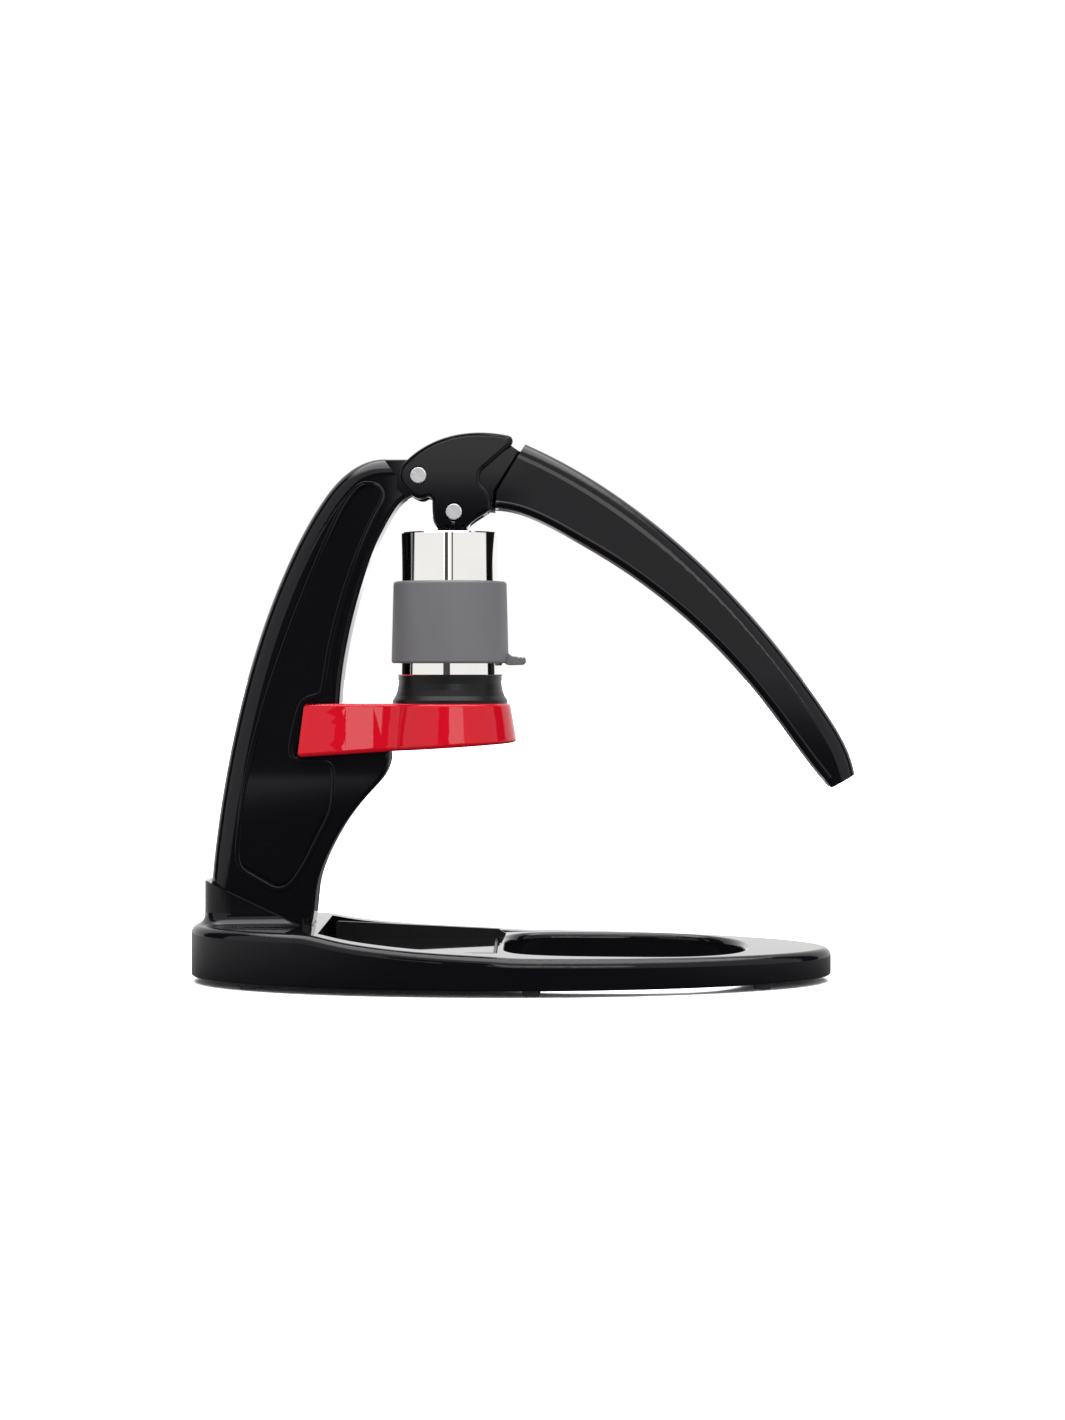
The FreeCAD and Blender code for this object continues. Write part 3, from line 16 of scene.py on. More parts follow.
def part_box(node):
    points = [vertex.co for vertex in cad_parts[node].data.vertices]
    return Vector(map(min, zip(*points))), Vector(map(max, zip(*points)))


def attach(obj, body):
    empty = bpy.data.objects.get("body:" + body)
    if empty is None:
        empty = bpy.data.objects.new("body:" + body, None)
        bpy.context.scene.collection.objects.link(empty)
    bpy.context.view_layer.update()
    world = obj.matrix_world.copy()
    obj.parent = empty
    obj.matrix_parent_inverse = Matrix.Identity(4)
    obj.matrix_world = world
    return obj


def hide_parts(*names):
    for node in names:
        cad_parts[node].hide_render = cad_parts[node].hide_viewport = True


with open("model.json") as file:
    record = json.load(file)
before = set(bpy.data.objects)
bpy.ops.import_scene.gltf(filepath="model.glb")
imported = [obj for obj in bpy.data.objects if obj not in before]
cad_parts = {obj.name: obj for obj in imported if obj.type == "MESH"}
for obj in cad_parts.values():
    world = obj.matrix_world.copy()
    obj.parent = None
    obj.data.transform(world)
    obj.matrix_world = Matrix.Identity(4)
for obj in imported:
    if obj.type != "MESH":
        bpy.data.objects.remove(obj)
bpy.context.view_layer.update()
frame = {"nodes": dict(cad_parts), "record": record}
nodes = frame["nodes"]

# %% [markdown]
# The camera looked square at the machine's side, almost level. These measures of the photograph
# place the camera at the end. They also turn a pixel into metres on a plane across the view.

# %% The photograph's measures
PHOTO_HEIGHT = 1420
FOCAL_PIXELS = 2787
HORIZON_ROW = 667
ORIGIN_COLUMN = 522.9
CAMERA_PLACE = (0.0046, -1.340, 0.1506)
PLACE_DIGITS = 4


def on_plane(column, row, depth):
    """X and Z of a pixel on the plane that lies depth nearer than the middle, to 0.1 mm."""
    pixels_per_metre = FOCAL_PIXELS / (-CAMERA_PLACE[1] - depth)
    x = (column - ORIGIN_COLUMN) / pixels_per_metre
    z = CAMERA_PLACE[2] + (HORIZON_ROW - row) / pixels_per_metre
    return round(x, PLACE_DIGITS), round(z, PLACE_DIGITS)


# %% [markdown]
# Every finish here is a node tree. Wiring nodes by hand is long to write and hard to read, so small
# classes do it. A Value is one socket, and the plain operators on it add Math nodes. A Tree adds
# any other node, and a Finish is the tree of one material.

# %% The shader helpers
def rgb(red, green, blue):
    return (red, green, blue, 1.0)


def grey(level):
    return rgb(level, level, level)


class Value:
    """A node's output that can be added, multiplied and so on, like a number."""

    def __init__(self, tree, socket):
        self.tree = tree
        self.socket = socket

    def maths(self, operation, first, second=None):
        inputs = {0: first} if second is None else {0: first, 1: second}
        return self.tree.node("ShaderNodeMath", {"operation": operation}, inputs)

    def __add__(self, other):
        return self.maths("ADD", self, other)

    def __radd__(self, other):
        return self.maths("ADD", other, self)

    def __sub__(self, other):
        return self.maths("SUBTRACT", self, other)

    def __rsub__(self, other):
        return self.maths("SUBTRACT", other, self)

    def __mul__(self, other):
        return self.maths("MULTIPLY", self, other)

    def __rmul__(self, other):
        return self.maths("MULTIPLY", other, self)

    def __truediv__(self, other):
        return self.maths("DIVIDE", self, other)

    def __pow__(self, other):
        return self.maths("POWER", self, other)

    def __abs__(self):
        return self.maths("ABSOLUTE", self)


class Tree:
    """A node tree that is being built."""

    def __init__(self, node_tree):
        self.node_tree = node_tree
        node_tree.nodes.clear()

    def node(self, kind, settings=None, inputs=None, output=0):
        """Add a node: its settings first, then a value or a link for each input."""
        made = self.node_tree.nodes.new(kind)
        for name, value in (settings or {}).items():
            setattr(made, name, value)
        for name, value in (inputs or {}).items():
            if isinstance(value, Value):
                self.node_tree.links.new(value.socket, made.inputs[name])
            else:
                made.inputs[name].default_value = value
        return Value(self, made.outputs[output])

    def apart(self, vector):
        """The three numbers of a vector."""
        split = self.node("ShaderNodeSeparateXYZ", None, {0: vector})
        return [Value(self, socket) for socket in split.socket.node.outputs]

    def ramp(self, value, levels):
        """A brightness that follows (place, level) pairs along a value of 0 to 1."""
        made = self.node("ShaderNodeValToRGB", None, {0: value})
        stops = made.socket.node.color_ramp.elements
        while len(stops) > 1:
            stops.remove(stops[-1])
        stops[0].position, stops[0].color = levels[0][0], grey(levels[0][1])
        for place, level in levels[1:]:
            stops.new(place).color = grey(level)
        return made

    def smooth(self, value, low, high):
        """0 below low and 1 above high, with a soft step between."""
        return self.node(
            "ShaderNodeMapRange", {"interpolation_type": "SMOOTHSTEP"},
            {0: value, 1: low, 2: high, 3: 0.0, 4: 1.0})

    def within(self, value, centre, inner, outer):
        """1 up to inner from the centre and 0 beyond outer, with a soft step between."""
        return 1.0 - self.smooth(abs(value - centre), inner, outer)

    def mix(self, share, first, second):
        """A colour between two others."""
        return self.node(
            "ShaderNodeMix", {"data_type": "RGBA"}, {0: share, 6: first, 7: second}, 2)


class Finish(Tree):
    """A material with one Principled shader."""

    def __init__(self, name, constant=None):
        self.material = bpy.data.materials.new(name)
        self.material.use_nodes = True
        super().__init__(self.material.node_tree)
        self.place = self.node("ShaderNodeTexCoord", output="Object")
        self.shader = self.node_tree.nodes.new("ShaderNodeBsdfPrincipled")
        for socket, value in (constant or {}).items():
            self.shader.inputs[socket].default_value = value
        self.out = self.node_tree.nodes.new("ShaderNodeOutputMaterial")
        self.node_tree.links.new(self.shader.outputs[0], self.out.inputs[0])

    def feed(self, **values):
        """Link a Value to each named input of the shader, or set a plain one."""
        for name, value in values.items():
            socket = self.shader.inputs[name.replace("_", " ").title()]
            if isinstance(value, Value):
                self.node_tree.links.new(value.socket, socket)
            else:
                socket.default_value = value

    def noise(self, scale, detail, vector=None):
        """Soft noise: scale is in lumps per metre."""
        return self.node(
            "ShaderNodeTexNoise", {"noise_dimensions": "3D"},
            {"Vector": vector or self.place, "Scale": scale, "Detail": detail})

    def bump(self, height, depth, edge_radius=None):
        """A normal from a height of 0 to 1 that stands for depth metres, with eased edges."""
        inputs = {"Height": height, "Strength": 1.0, "Distance": depth}
        if edge_radius:
            inputs["Normal"] = self.node("ShaderNodeBevel", {"samples": 6}, {"Radius": edge_radius})
        return self.node("ShaderNodeBump", None, inputs)


# %% [markdown]
# The castings are coated in thick gloss paint. Real gloss paint isn't a perfect mirror: it has a
# gentle orange-peel waviness, and its shine varies a little where hands have been. A clear coat
# over a dark base gives the sharp reflection, and two sizes of noise bend it very slightly.

# %% Gloss paint
EDGE_RADIUS = 0.0007
PEEL_DEPTH = 0.000012


def gloss_paint(name, colour, deep, coat):
    finish = Finish(name, {
        "Coat Weight": 1.0, "Coat Roughness": 0.03, "Coat IOR": coat, "Specular IOR Level": 0.0})
    broad = finish.noise(scale=45.0, detail=3.0)
    fine = finish.noise(scale=900.0, detail=2.0)
    finish.feed(
        Base_Color=finish.mix(broad, colour, deep),
        Roughness=0.26 + 0.14 * broad,
        Normal=finish.bump(fine, PEEL_DEPTH, EDGE_RADIUS))
    return finish.material


BLACK = gloss_paint(
    "black_gloss_paint", rgb(0.0034, 0.0034, 0.0046), rgb(0.0024, 0.0024, 0.0034), 1.31)
RED = gloss_paint("red_gloss_paint", rgb(0.45, 0.003, 0.012), rgb(0.42, 0.003, 0.011), 1.33)

# %% [markdown]
# The cylinder is turned and then polished, so very fine rings run round it. Noise that is stretched
# round the axis, and squeezed along it, gives such rings: only the height and the distance from the
# axis go into it.

# %% Turned metal
BREW_X = -0.035
HAZE = 0.92


def turned_metal(name, colour, roughness, rings, depth):
    finish = Finish(name, {"Metallic": 1.0})
    x, y, z = finish.apart(finish.place)
    radius = ((x - BREW_X) ** 2.0 + y ** 2.0) ** 0.5
    ringed = finish.node("ShaderNodeCombineXYZ", None, {0: radius, 2: z})
    lines = finish.noise(scale=rings, detail=4.0, vector=ringed)
    haze = finish.noise(scale=60.0, detail=2.0)
    finish.feed(
        Base_Color=finish.mix(haze, colour, rgb(*(HAZE * part for part in colour[:3]))),
        Roughness=roughness * (0.7 + 0.6 * lines),
        Normal=finish.bump(lines, depth))
    return finish.material


STEEL = turned_metal("polished_steel", rgb(0.80, 0.785, 0.765), 0.035, 2500.0, 0.00000015)
ALUMINIUM = turned_metal("piston_aluminium", rgb(0.72, 0.72, 0.73), 0.22, 1800.0, 0.000004)
BRASS = turned_metal("bush_brass", rgb(0.62, 0.42, 0.16), 0.25, 1500.0, 0.000004)

# %% [markdown]
# The pins lie across the machine, so the rings on their ends run round each pin's own middle, and so
# do the sectors of painted reflection in their colour. The plastic, the rubber and the silicone are
# moulded, with a fine grain and slightly lighter patches.

# %% The pins and the moulded finishes
PAINTED_FAN_SCALE = 3.0


def middle_of(node):
    """Where a node's box has its middle."""
    low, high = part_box(node)
    return (low + high) / 2


def pin_steel(name, centre):
    """A pin's turned end: rings round its middle, and a painted reflection in the base colour, the
    bright and dark sectors of light that such rings throw.
    """
    finish = Finish(name, {"Metallic": 1.0})
    x, _, z = finish.apart(finish.place)
    along, up = x - centre.x, z - centre.z
    turn = up.maths("ARCTAN2", up, along)
    double = turn * 2.0
    painted_fan = finish.noise(scale=1.0, detail=2.0, vector=finish.node("ShaderNodeCombineXYZ", None, {
        0: double.maths("SINE", double) * PAINTED_FAN_SCALE,
        1: turn.maths("COSINE", turn) * PAINTED_FAN_SCALE}))
    rings = finish.noise(scale=6000.0, detail=2.0, vector=finish.node(
        "ShaderNodeCombineXYZ", None, {0: (along ** 2.0 + up ** 2.0) ** 0.5}))
    # The base colour is mixed from dark and light grey by the sectors round the middle: a painted
    # reflection.
    finish.feed(
        Base_Color=finish.mix(painted_fan, rgb(0.32, 0.32, 0.33), rgb(0.80, 0.80, 0.81)),
        Roughness=0.30 + 0.12 * rings,
        Normal=finish.bump(rings, 0.000001))
    return finish.material


def moulded(name, colour, roughness, grain_scale, depth, shine=0.5):
    """Moulded plastic or rubber with a fine spark-eroded grain."""
    finish = Finish(name, {"Specular IOR Level": shine})
    grain = finish.noise(scale=grain_scale, detail=3.0)
    patches = finish.noise(scale=30.0, detail=2.0)
    lighter = rgb(*(min(1.0, 1.25 * part + 0.002) for part in colour[:3]))
    finish.feed(
        Base_Color=finish.mix(patches, colour, lighter),
        Roughness=roughness - 0.06 + 0.12 * grain,
        Normal=finish.bump(grain, depth))
    return finish.material


PIN = pin_steel("brushed_pin_steel", middle_of("main_pivot_pin"))
FOOT_PIN = pin_steel("brushed_foot_pin_steel", middle_of("press_foot_pin"))
PLASTIC = moulded("black_plastic", rgb(0.0034, 0.0035, 0.0040), 0.34, 2200.0, 0.000010, 0.17)
RUBBER = moulded("black_rubber", rgb(0.012, 0.012, 0.012), 0.7, 1500.0, 0.00003)
SILICONE = moulded("grey_silicone", rgb(0.096, 0.094, 0.101), 0.56, 3000.0, 0.000012)

# %% [markdown]
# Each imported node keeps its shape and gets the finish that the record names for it, with two
# exceptions. The tray's plate is a dark mirror in the photograph, so it gets the black gloss paint,
# and the press foot's pin gets rings round its own middle.

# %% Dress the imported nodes
FINISH_OF_SLOT = {
    "black_gloss_paint": BLACK,
    "red_gloss_paint": RED,
    "polished_steel": STEEL,
    "brushed_pin_steel": PIN,
    "grey_silicone": SILICONE,
    "black_plastic": PLASTIC,
    "black_rubber": RUBBER,
    "bush_brass": BRASS,
    "piston_aluminium": ALUMINIUM,
}


def dress(piece, material):
    piece.data.materials.clear()
    piece.data.materials.append(material)


for subpart in frame["record"]["subparts"]:
    dress(nodes[subpart["node"]], FINISH_OF_SLOT[subpart["material_slot"]])
dress(nodes["drip_plate"], BLACK)
dress(nodes["press_foot_pin"], FOOT_PIN)
print("finishes given to", len(nodes), "nodes")

# %% [markdown]
# Some pieces need more form than the construction holds. Each starts from a bmesh: either a copy of
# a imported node, whose loose triangles are merged first, or a profile that is spun, swept or
# extruded. The finished bmesh becomes a piece that rides on the node's own body and takes its
# finish. It stands for the node too, unless it only lies on it. Its normals are weighted by the
# faces' areas, so that long thin triangles don't pull the shading of a flat face.

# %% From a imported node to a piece
MERGE = 0.000001
CUT_EXACT = 0.0000001
BODY_OF_NODE = {
    node: body for body, members in frame["record"]["behaviour"]["bodies"].items()
    for node in members}
SLOT_OF_NODE = {
    subpart["node"]: subpart["material_slot"] for subpart in frame["record"]["subparts"]}


def copy_of(node):
    shape = bmesh.new()
    shape.from_mesh(nodes[node].data)
    bmesh.ops.remove_doubles(shape, verts=shape.verts, dist=MERGE)
    return shape


def join(shape, other):
    """Add another bmesh to this one."""
    mesh = bpy.data.meshes.new("joined")
    other.to_mesh(mesh)
    other.free()
    shape.from_mesh(mesh)
    bpy.data.meshes.remove(mesh)


def cut(shape, place, normal, **cleared):
    """Cut a bmesh along a plane, clear the sides that are named and give back what lies in it."""
    everything = [*shape.verts, *shape.edges, *shape.faces]
    return bmesh.ops.bisect_plane(
        shape, geom=everything, dist=CUT_EXACT, plane_co=place, plane_no=normal,
        **cleared)["geom_cut"]


def bevel(shape, edges, width, segments=3):
    bmesh.ops.bevel(
        shape, geom=edges, offset=width, offset_type="OFFSET", affect="EDGES",
        segments=segments, profile=0.5, material=-1, clamp_overlap=True)


def raise_from(shape, face, offset):
    """Extrude a face along Y and give back the face that moved."""
    made = bmesh.ops.extrude_face_region(shape, geom=[face])["geom"]
    moved = [item for item in made if isinstance(item, bmesh.types.BMVert)]
    bmesh.ops.translate(shape, verts=moved, vec=(0, offset, 0))
    return next(item for item in made if isinstance(item, bmesh.types.BMFace))


def piece_from(shape, name, *stands_for, crease, replace=True):
    """A finished piece for or on these nodes, creased where faces meet at more degrees."""
    bmesh.ops.recalc_face_normals(shape, faces=shape.faces)
    mesh = bpy.data.meshes.new(name)
    shape.to_mesh(mesh)
    shape.free()
    mesh.shade_smooth()
    mesh.set_sharp_from_angle(angle=math.radians(crease))
    piece = bpy.data.objects.new(name, mesh)
    bpy.context.scene.collection.objects.link(piece)
    even = piece.modifiers.new("even shading", "WEIGHTED_NORMAL")
    even.weight = 100
    even.keep_sharp = True
    node = stands_for[0]
    dress(piece, FINISH_OF_SLOT[SLOT_OF_NODE[node]])
    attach(piece, BODY_OF_NODE[node])
    if replace:
        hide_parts(*stands_for)
    print(name, "has", len(mesh.polygons), "faces")
    return piece


# %% [markdown]
# The lever's head is cast. On each cheek a rounded rim runs round the edge, then comes a flat
# border a little lower than the middle, which stands up as a field of its own. The cheek's outline
# is already in the construction, so a plane cuts it out of a copy, and the new cheek grows from that
# outline: extrude, round the rim, inset the border, raise the field. A plate makes the neck's side.

# %% The cheeks of the lever's head
CHEEK_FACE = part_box("lever_head")[1].y
CHEEK_CUT = 0.0120
CHEEK_INSIDE = 0.0101
RIM_ROUND = 0.0010
RIM_STEPS = 5
BORDER = 0.0009
FIELD_RISE = 0.0005
FIELD_ROUND = 0.0002
FIELD_STEPS = 2
PIN_RECESS = 0.0044
RECESS_BAR = 0.0060
OUTLINE_MERGE = 0.0004
OUTLINE_STEP = 0.0006
NECK_INSIDE = 0.0099
NECK_FACE = 0.0116
NECK_ROUND = 0.0005
NECK_INSET = 0.0002
NECK = [
    (-0.0066, 0.2555), (-0.0052, 0.2553), (-0.0022, 0.2525), (-0.0136, 0.2345), (-0.0140, 0.2293),
    (-0.0162, 0.2302), (-0.0224, 0.2369), (-0.0233, 0.2455)]
LEVEL_DIGITS = 4


def width_of(verts):
    return max(vert.co.x for vert in verts) - min(vert.co.x for vert in verts)


def outline_at(node, depth):
    """The outer loop of a node, where the plane Y = depth cuts it, as one face."""
    shape = copy_of(node)
    cut(shape, (0, depth, 0), (0, 1, 0), clear_inner=True, clear_outer=True)
    bmesh.ops.remove_doubles(shape, verts=shape.verts, dist=OUTLINE_MERGE)
    loops, left = [], set(shape.verts)
    while left:
        loop, fresh = set(), {left.pop()}
        while fresh:
            vert = fresh.pop()
            loop.add(vert)
            fresh |= {edge.other_vert(vert) for edge in vert.link_edges} - loop
        left -= loop
        loops.append(loop)
    widest = max(loops, key=width_of)
    bmesh.ops.delete(
        shape, geom=[vert for vert in shape.verts if vert not in widest], context="VERTS")
    for edge in shape.edges[:]:
        cuts = int(edge.calc_length() / OUTLINE_STEP)
        if cuts:
            bmesh.ops.subdivide_edges(shape, edges=[edge], cuts=cuts)
    bmesh.ops.contextual_create(shape, geom=shape.edges)
    return shape


def step_in(shape, face, inward, rise):
    """Inset a face by inward, ease its tight bends and move it by rise along Y."""
    bmesh.ops.inset_region(shape, faces=[face], thickness=inward)
    bmesh.ops.smooth_vert(
        shape, verts=face.verts, factor=0.5, use_axis_x=True, use_axis_z=True)
    bmesh.ops.translate(shape, verts=face.verts, vec=(0, rise, 0))


def round_in(shape, face, radius, rise_sign, steps):
    """Round a face's edge over: small insets follow a quarter circle."""
    for step in range(steps):
        before, after = (math.pi / 2 * (step + part) / steps for part in (0, 1))
        step_in(shape, face, radius * (math.cos(before) - math.cos(after)),
                rise_sign * radius * (math.sin(after) - math.sin(before)))


def cheek(side):
    shape = outline_at("lever_head", side * CHEEK_CUT)
    bmesh.ops.translate(
        shape, verts=shape.verts, vec=(0, side * (CHEEK_INSIDE - CHEEK_CUT), 0))
    rim_foot = CHEEK_FACE - FIELD_RISE - RIM_ROUND
    face = raise_from(shape, shape.faces[0], side * (rim_foot - CHEEK_INSIDE))
    round_in(shape, face, RIM_ROUND, side, RIM_STEPS)
    step_in(shape, face, BORDER, 0)
    step_in(shape, face, FIELD_ROUND, side * (FIELD_RISE - FIELD_ROUND))
    round_in(shape, face, FIELD_ROUND, side, FIELD_STEPS)
    return shape


def neck_plate(side):
    """The flat side of the neck, between the cheek and the handle."""
    shape = bmesh.new()
    face = shape.faces.new([shape.verts.new((x, side * NECK_INSIDE, z)) for x, z in NECK])
    raised = raise_from(shape, face, side * (NECK_FACE - NECK_INSIDE))
    bevel(shape, raised.edges[:], NECK_ROUND)
    flat = max(shape.faces, key=lambda part: (
        round(abs(part.calc_center_median().y), LEVEL_DIGITS), part.calc_area()))
    bmesh.ops.inset_region(shape, faces=[flat], thickness=NECK_INSET)
    return shape


def between_planes(shape, half_width):
    """Keep what lies within half_width of the middle plane and close the two cuts."""
    for side in (-1, 1):
        in_plane = cut(shape, (0, side * half_width, 0), (0, side, 0), clear_outer=True)
        edges = [item for item in in_plane if isinstance(item, bmesh.types.BMEdge)]
        bmesh.ops.triangle_fill(shape, use_beauty=True, edges=edges, normal=(0, side, 0))
    return shape


def rod(radius, depth, centre, sides=64):
    """A round bar across the machine, as an object to cut with."""
    shape = bmesh.new()
    bmesh.ops.create_cone(
        shape, cap_ends=True, segments=sides, radius1=radius, radius2=radius, depth=depth)
    bmesh.ops.rotate(
        shape, verts=shape.verts, matrix=Matrix.Rotation(math.pi / 2, 3, "X"), cent=(0, 0, 0))
    bmesh.ops.translate(shape, verts=shape.verts, vec=centre)
    mesh = bpy.data.meshes.new("cutter")
    shape.to_mesh(mesh)
    shape.free()
    return bpy.data.objects.new("cutter", mesh)


CARVE_SCALE = 1000


def carve(shape, cutters):
    """Cut each object out of a closed bmesh, in millimetres, which the boolean solver needs."""
    bmesh.ops.recalc_face_normals(shape, faces=shape.faces)
    mesh = bpy.data.meshes.new("carved")
    shape.to_mesh(mesh)
    shape.free()
    block = bpy.data.objects.new("carved", mesh)
    for item in (block, *cutters):
        item.data.transform(Matrix.Scale(CARVE_SCALE, 4))
        bpy.context.scene.collection.objects.link(item)
    for cutter in cutters:
        change = block.modifiers.new("carve", "BOOLEAN")
        change.operation = "DIFFERENCE"
        change.solver = "EXACT"
        change.object = cutter
    bpy.context.view_layer.update()
    seen = block.evaluated_get(bpy.context.evaluated_depsgraph_get())
    carved = bmesh.new()
    carved.from_mesh(bpy.data.meshes.new_from_object(seen))
    bmesh.ops.scale(carved, verts=carved.verts, vec=[1 / CARVE_SCALE] * 3)
    for item in (block, *cutters):
        bpy.data.objects.remove(item)
    return carved


def lever_casting():
    shape = between_planes(copy_of("lever_head"), CHEEK_INSIDE)
    for side in (-1, 1):
        cutters = []
        for pin in ("main_pivot_pin", "press_foot_pin"):
            centre = middle_of(pin) + Vector((0, side * CHEEK_FACE, 0))
            cutters.append(rod(PIN_RECESS, RECESS_BAR, centre))
        join(shape, carve(cheek(side), cutters))
        join(shape, neck_plate(side))
    piece_from(shape, "lever_casting", "lever_head", crease=28)


lever_casting()

# %% [markdown]
# A low border runs round the panel on each side of the post and steps round the holder. Its course
# is a list of points from the photograph, taken to lie at the panel's depth. It is a rounded strip,
# swept along that course: corner cutting smooths it, and rays find the post's face. The strip has to
# bridge a groove of the construction, so the outermost of three rays counts.

# %% The border of the post's panel
PANEL_DEPTH = 0.0125
BORDER_PIXELS = [
    (361, 483.5), (346, 499), (323.5, 545), (295, 615), (268, 690), (245, 776), (237, 845),
    (238.5, 868), (258.5, 880), (280, 892), (297, 879), (319, 836), (332, 810), (333.4, 786),
    (332.6, 765), (325, 761.5), (296, 760.6), (290.4, 755.4), (291, 741.7), (299, 707),
    (305, 698.6), (321, 695), (323.5, 686), (330.5, 640), (347, 580), (371, 520), (385, 497),
    (380, 486), (371, 483.5)]
BORDER_SECTION = [
    (-0.00115, -0.0002), (-0.00110, 0.00015), (-0.00095, 0.00030), (-0.00070, 0.00036),
    (0.00070, 0.00036), (0.00095, 0.00030), (0.00110, 0.00015), (0.00115, -0.0002)]
BORDER_BRIDGES = 0.0010
BORDER_SMOOTHINGS = 2
RAY_START = 0.1


def cut_corners(points, times):
    """Smooth a closed path: each corner gives way to two points, a quarter along its sides."""
    for _ in range(times):
        points = [
            tuple(share * a + (1 - share) * b for a, b in zip(first, second))
            for first, second in zip(points, points[1:] + points[:1]) for share in (0.75, 0.25)]
    return points


def post_border(side):
    surface = BVHTree.FromObject(nodes["post_casting"], bpy.context.evaluated_depsgraph_get())
    course = [on_plane(column, row, PANEL_DEPTH) for column, row in BORDER_PIXELS]
    path = [Vector(point) for point in cut_corners(course, BORDER_SMOOTHINGS)]

    def depth_at(x, z):
        met = surface.ray_cast(Vector((x, side * RAY_START, z)), Vector((0, -side, 0)))[0]
        return abs(met.y)

    shape = bmesh.new()
    rings = []
    for index, point in enumerate(path):
        along = (path[(index + 1) % len(path)] - path[index - 1]).normalized()
        ring = []
        for offset, rise in BORDER_SECTION:
            x, z = point.x - offset * along.y, point.y + offset * along.x
            level = max(depth_at(x - near * along.y, z + near * along.x)
                        for near in (-BORDER_BRIDGES, 0, BORDER_BRIDGES))
            ring.append(shape.verts.new((x, side * (level + rise), z)))
        rings.append(ring)
    for ring, after in zip(rings, rings[1:] + rings[:1]):
        for first in range(len(ring) - 1):
            shape.faces.new((ring[first], ring[first + 1], after[first + 1], after[first]))
    return shape


def post_borders():
    shape = post_border(-1)
    join(shape, post_border(1))
    piece_from(shape, "post_borders", "post_casting", crease=60, replace=False)


post_borders()

# %% [markdown]
# The holder's two prongs thin towards their ends. The construction has them of one thickness, so a
# merged copy is cut across where the thinning starts, and what lies beyond it leans inward. The
# prongs are flat facets, so their upright edges stay sharp.

# %% The holder's prongs
PRONG_START = -0.0886
PRONG_OUTSIDE = 0.0155
PRONG_LEAN = 0.15
PRONG_FACETS_END = -0.064
PRONG_UPRIGHT = 0.004


def on_prong(place):
    return place.x < PRONG_FACETS_END and abs(place.y) > PRONG_OUTSIDE


def holder_casting():
    shape = copy_of("brew_holder")
    cut(shape, (PRONG_START, 0, 0), (1, 0, 0))
    for vert in shape.verts:
        if vert.co.x < PRONG_START and abs(vert.co.y) > PRONG_OUTSIDE:
            inward = PRONG_LEAN * (PRONG_START - vert.co.x)
            vert.co.y -= math.copysign(inward, vert.co.y)
    piece = piece_from(shape, "holder_casting", "brew_holder", crease=24)
    points = [vert.co for vert in piece.data.vertices]
    for edge in piece.data.edges:
        first, second = (points[index] for index in edge.vertices)
        upright = abs(first.z - second.z) > PRONG_UPRIGHT
        if upright and on_prong(first) and on_prong(second):
            edge.use_edge_sharp = True


holder_casting()

# %% [markdown]
# The handle is two shells, and the thin line where they meet catches the light. The lower shell
# stands a little proud of the upper one all along that line, so a merged copy of it is widened, and
# its edge at the seam is rounded.

# %% The handle's lower shell
LOWER_SHELL_PROUD = 0.0008
SEAM_STEPS = 5
SHELL_MIDDLE = 0.004
FACES_OUT = 0.9
FACES_UP = 0.5


def outward(face):
    return abs(face.normal.y) > FACES_OUT


def upward(face):
    return not outward(face) and face.normal.x + face.normal.z > FACES_UP


def lower_shell():
    shape = copy_of("handle_underside")
    shape.normal_update()
    seam = [edge for edge in shape.edges
            if any(map(outward, edge.link_faces)) and any(map(upward, edge.link_faces))]
    print("the handle's seam has", len(seam), "edges")
    for side in (-1, 1):
        outer = [vert for vert in shape.verts if side * vert.co.y > SHELL_MIDDLE]
        bmesh.ops.translate(shape, verts=outer, vec=(0, side * LOWER_SHELL_PROUD, 0))
    bevel(shape, seam, LOWER_SHELL_PROUD, SEAM_STEPS)
    piece_from(shape, "handle_lower_shell", "handle_underside", crease=30)


lower_shell()

# %% [markdown]
# The sleeve is soft silicone, a little wider at its foot, with rounded lips. Its profile is spun
# round the cylinder's axis, and its edges are bevelled. The pull tab starts as the outline seen
# from the side, with small grip ridges on top, and is extruded, then rounded. Its outline is given
# by steps from the tab's root and from its tip, and upwards from the sleeve's foot.

# %% The silicone sleeve
SPIN_STEPS = 128
NEAR = 0.0002
SLEEVE_LIFT = 0.0012
SLEEVE_TAPER = 0.0010
SLEEVE_WALL = 0.0028
FOOT_LIP = 0.0012
TOP_LIP = 0.0014
BORE_LIP = 0.0006
LIP_STEPS = 4
TAB_WIDTH = 0.0110
TAB_ROUND = 0.0010
SAME_DEPTH = 0.0001
TAB_BELOW_ROOT = [(-0.0020, 0.0004), (-0.0012, -0.0006), (0.0006, -0.0010)]
TAB_ROUND_TIP = [
    (-0.0012, -0.0008), (0.0, 0.0002), (0.0, 0.0020), (-0.0008, 0.0030), (-0.0016, 0.0026),
    (-0.0024, 0.0030), (-0.0032, 0.0027), (-0.0040, 0.0031)]
TAB_ABOVE_ROOT = [(0.0016, 0.0034), (0.0, 0.0046), (-0.0020, 0.0062)]


def ring_from(profile):
    """Spin a closed profile of (radius, height) pairs round the brewing head's axis."""
    shape = bmesh.new()
    verts = [shape.verts.new((BREW_X + radius, 0, height)) for radius, height in profile]
    for first, second in zip(verts, verts[1:] + verts[:1]):
        shape.edges.new((first, second))
    bmesh.ops.spin(
        shape, geom=[*shape.verts, *shape.edges], cent=(BREW_X, 0, 0), axis=(0, 0, 1),
        angle=2 * math.pi, steps=SPIN_STEPS, use_merge=True)
    bmesh.ops.remove_doubles(shape, verts=shape.verts, dist=MERGE)
    return shape


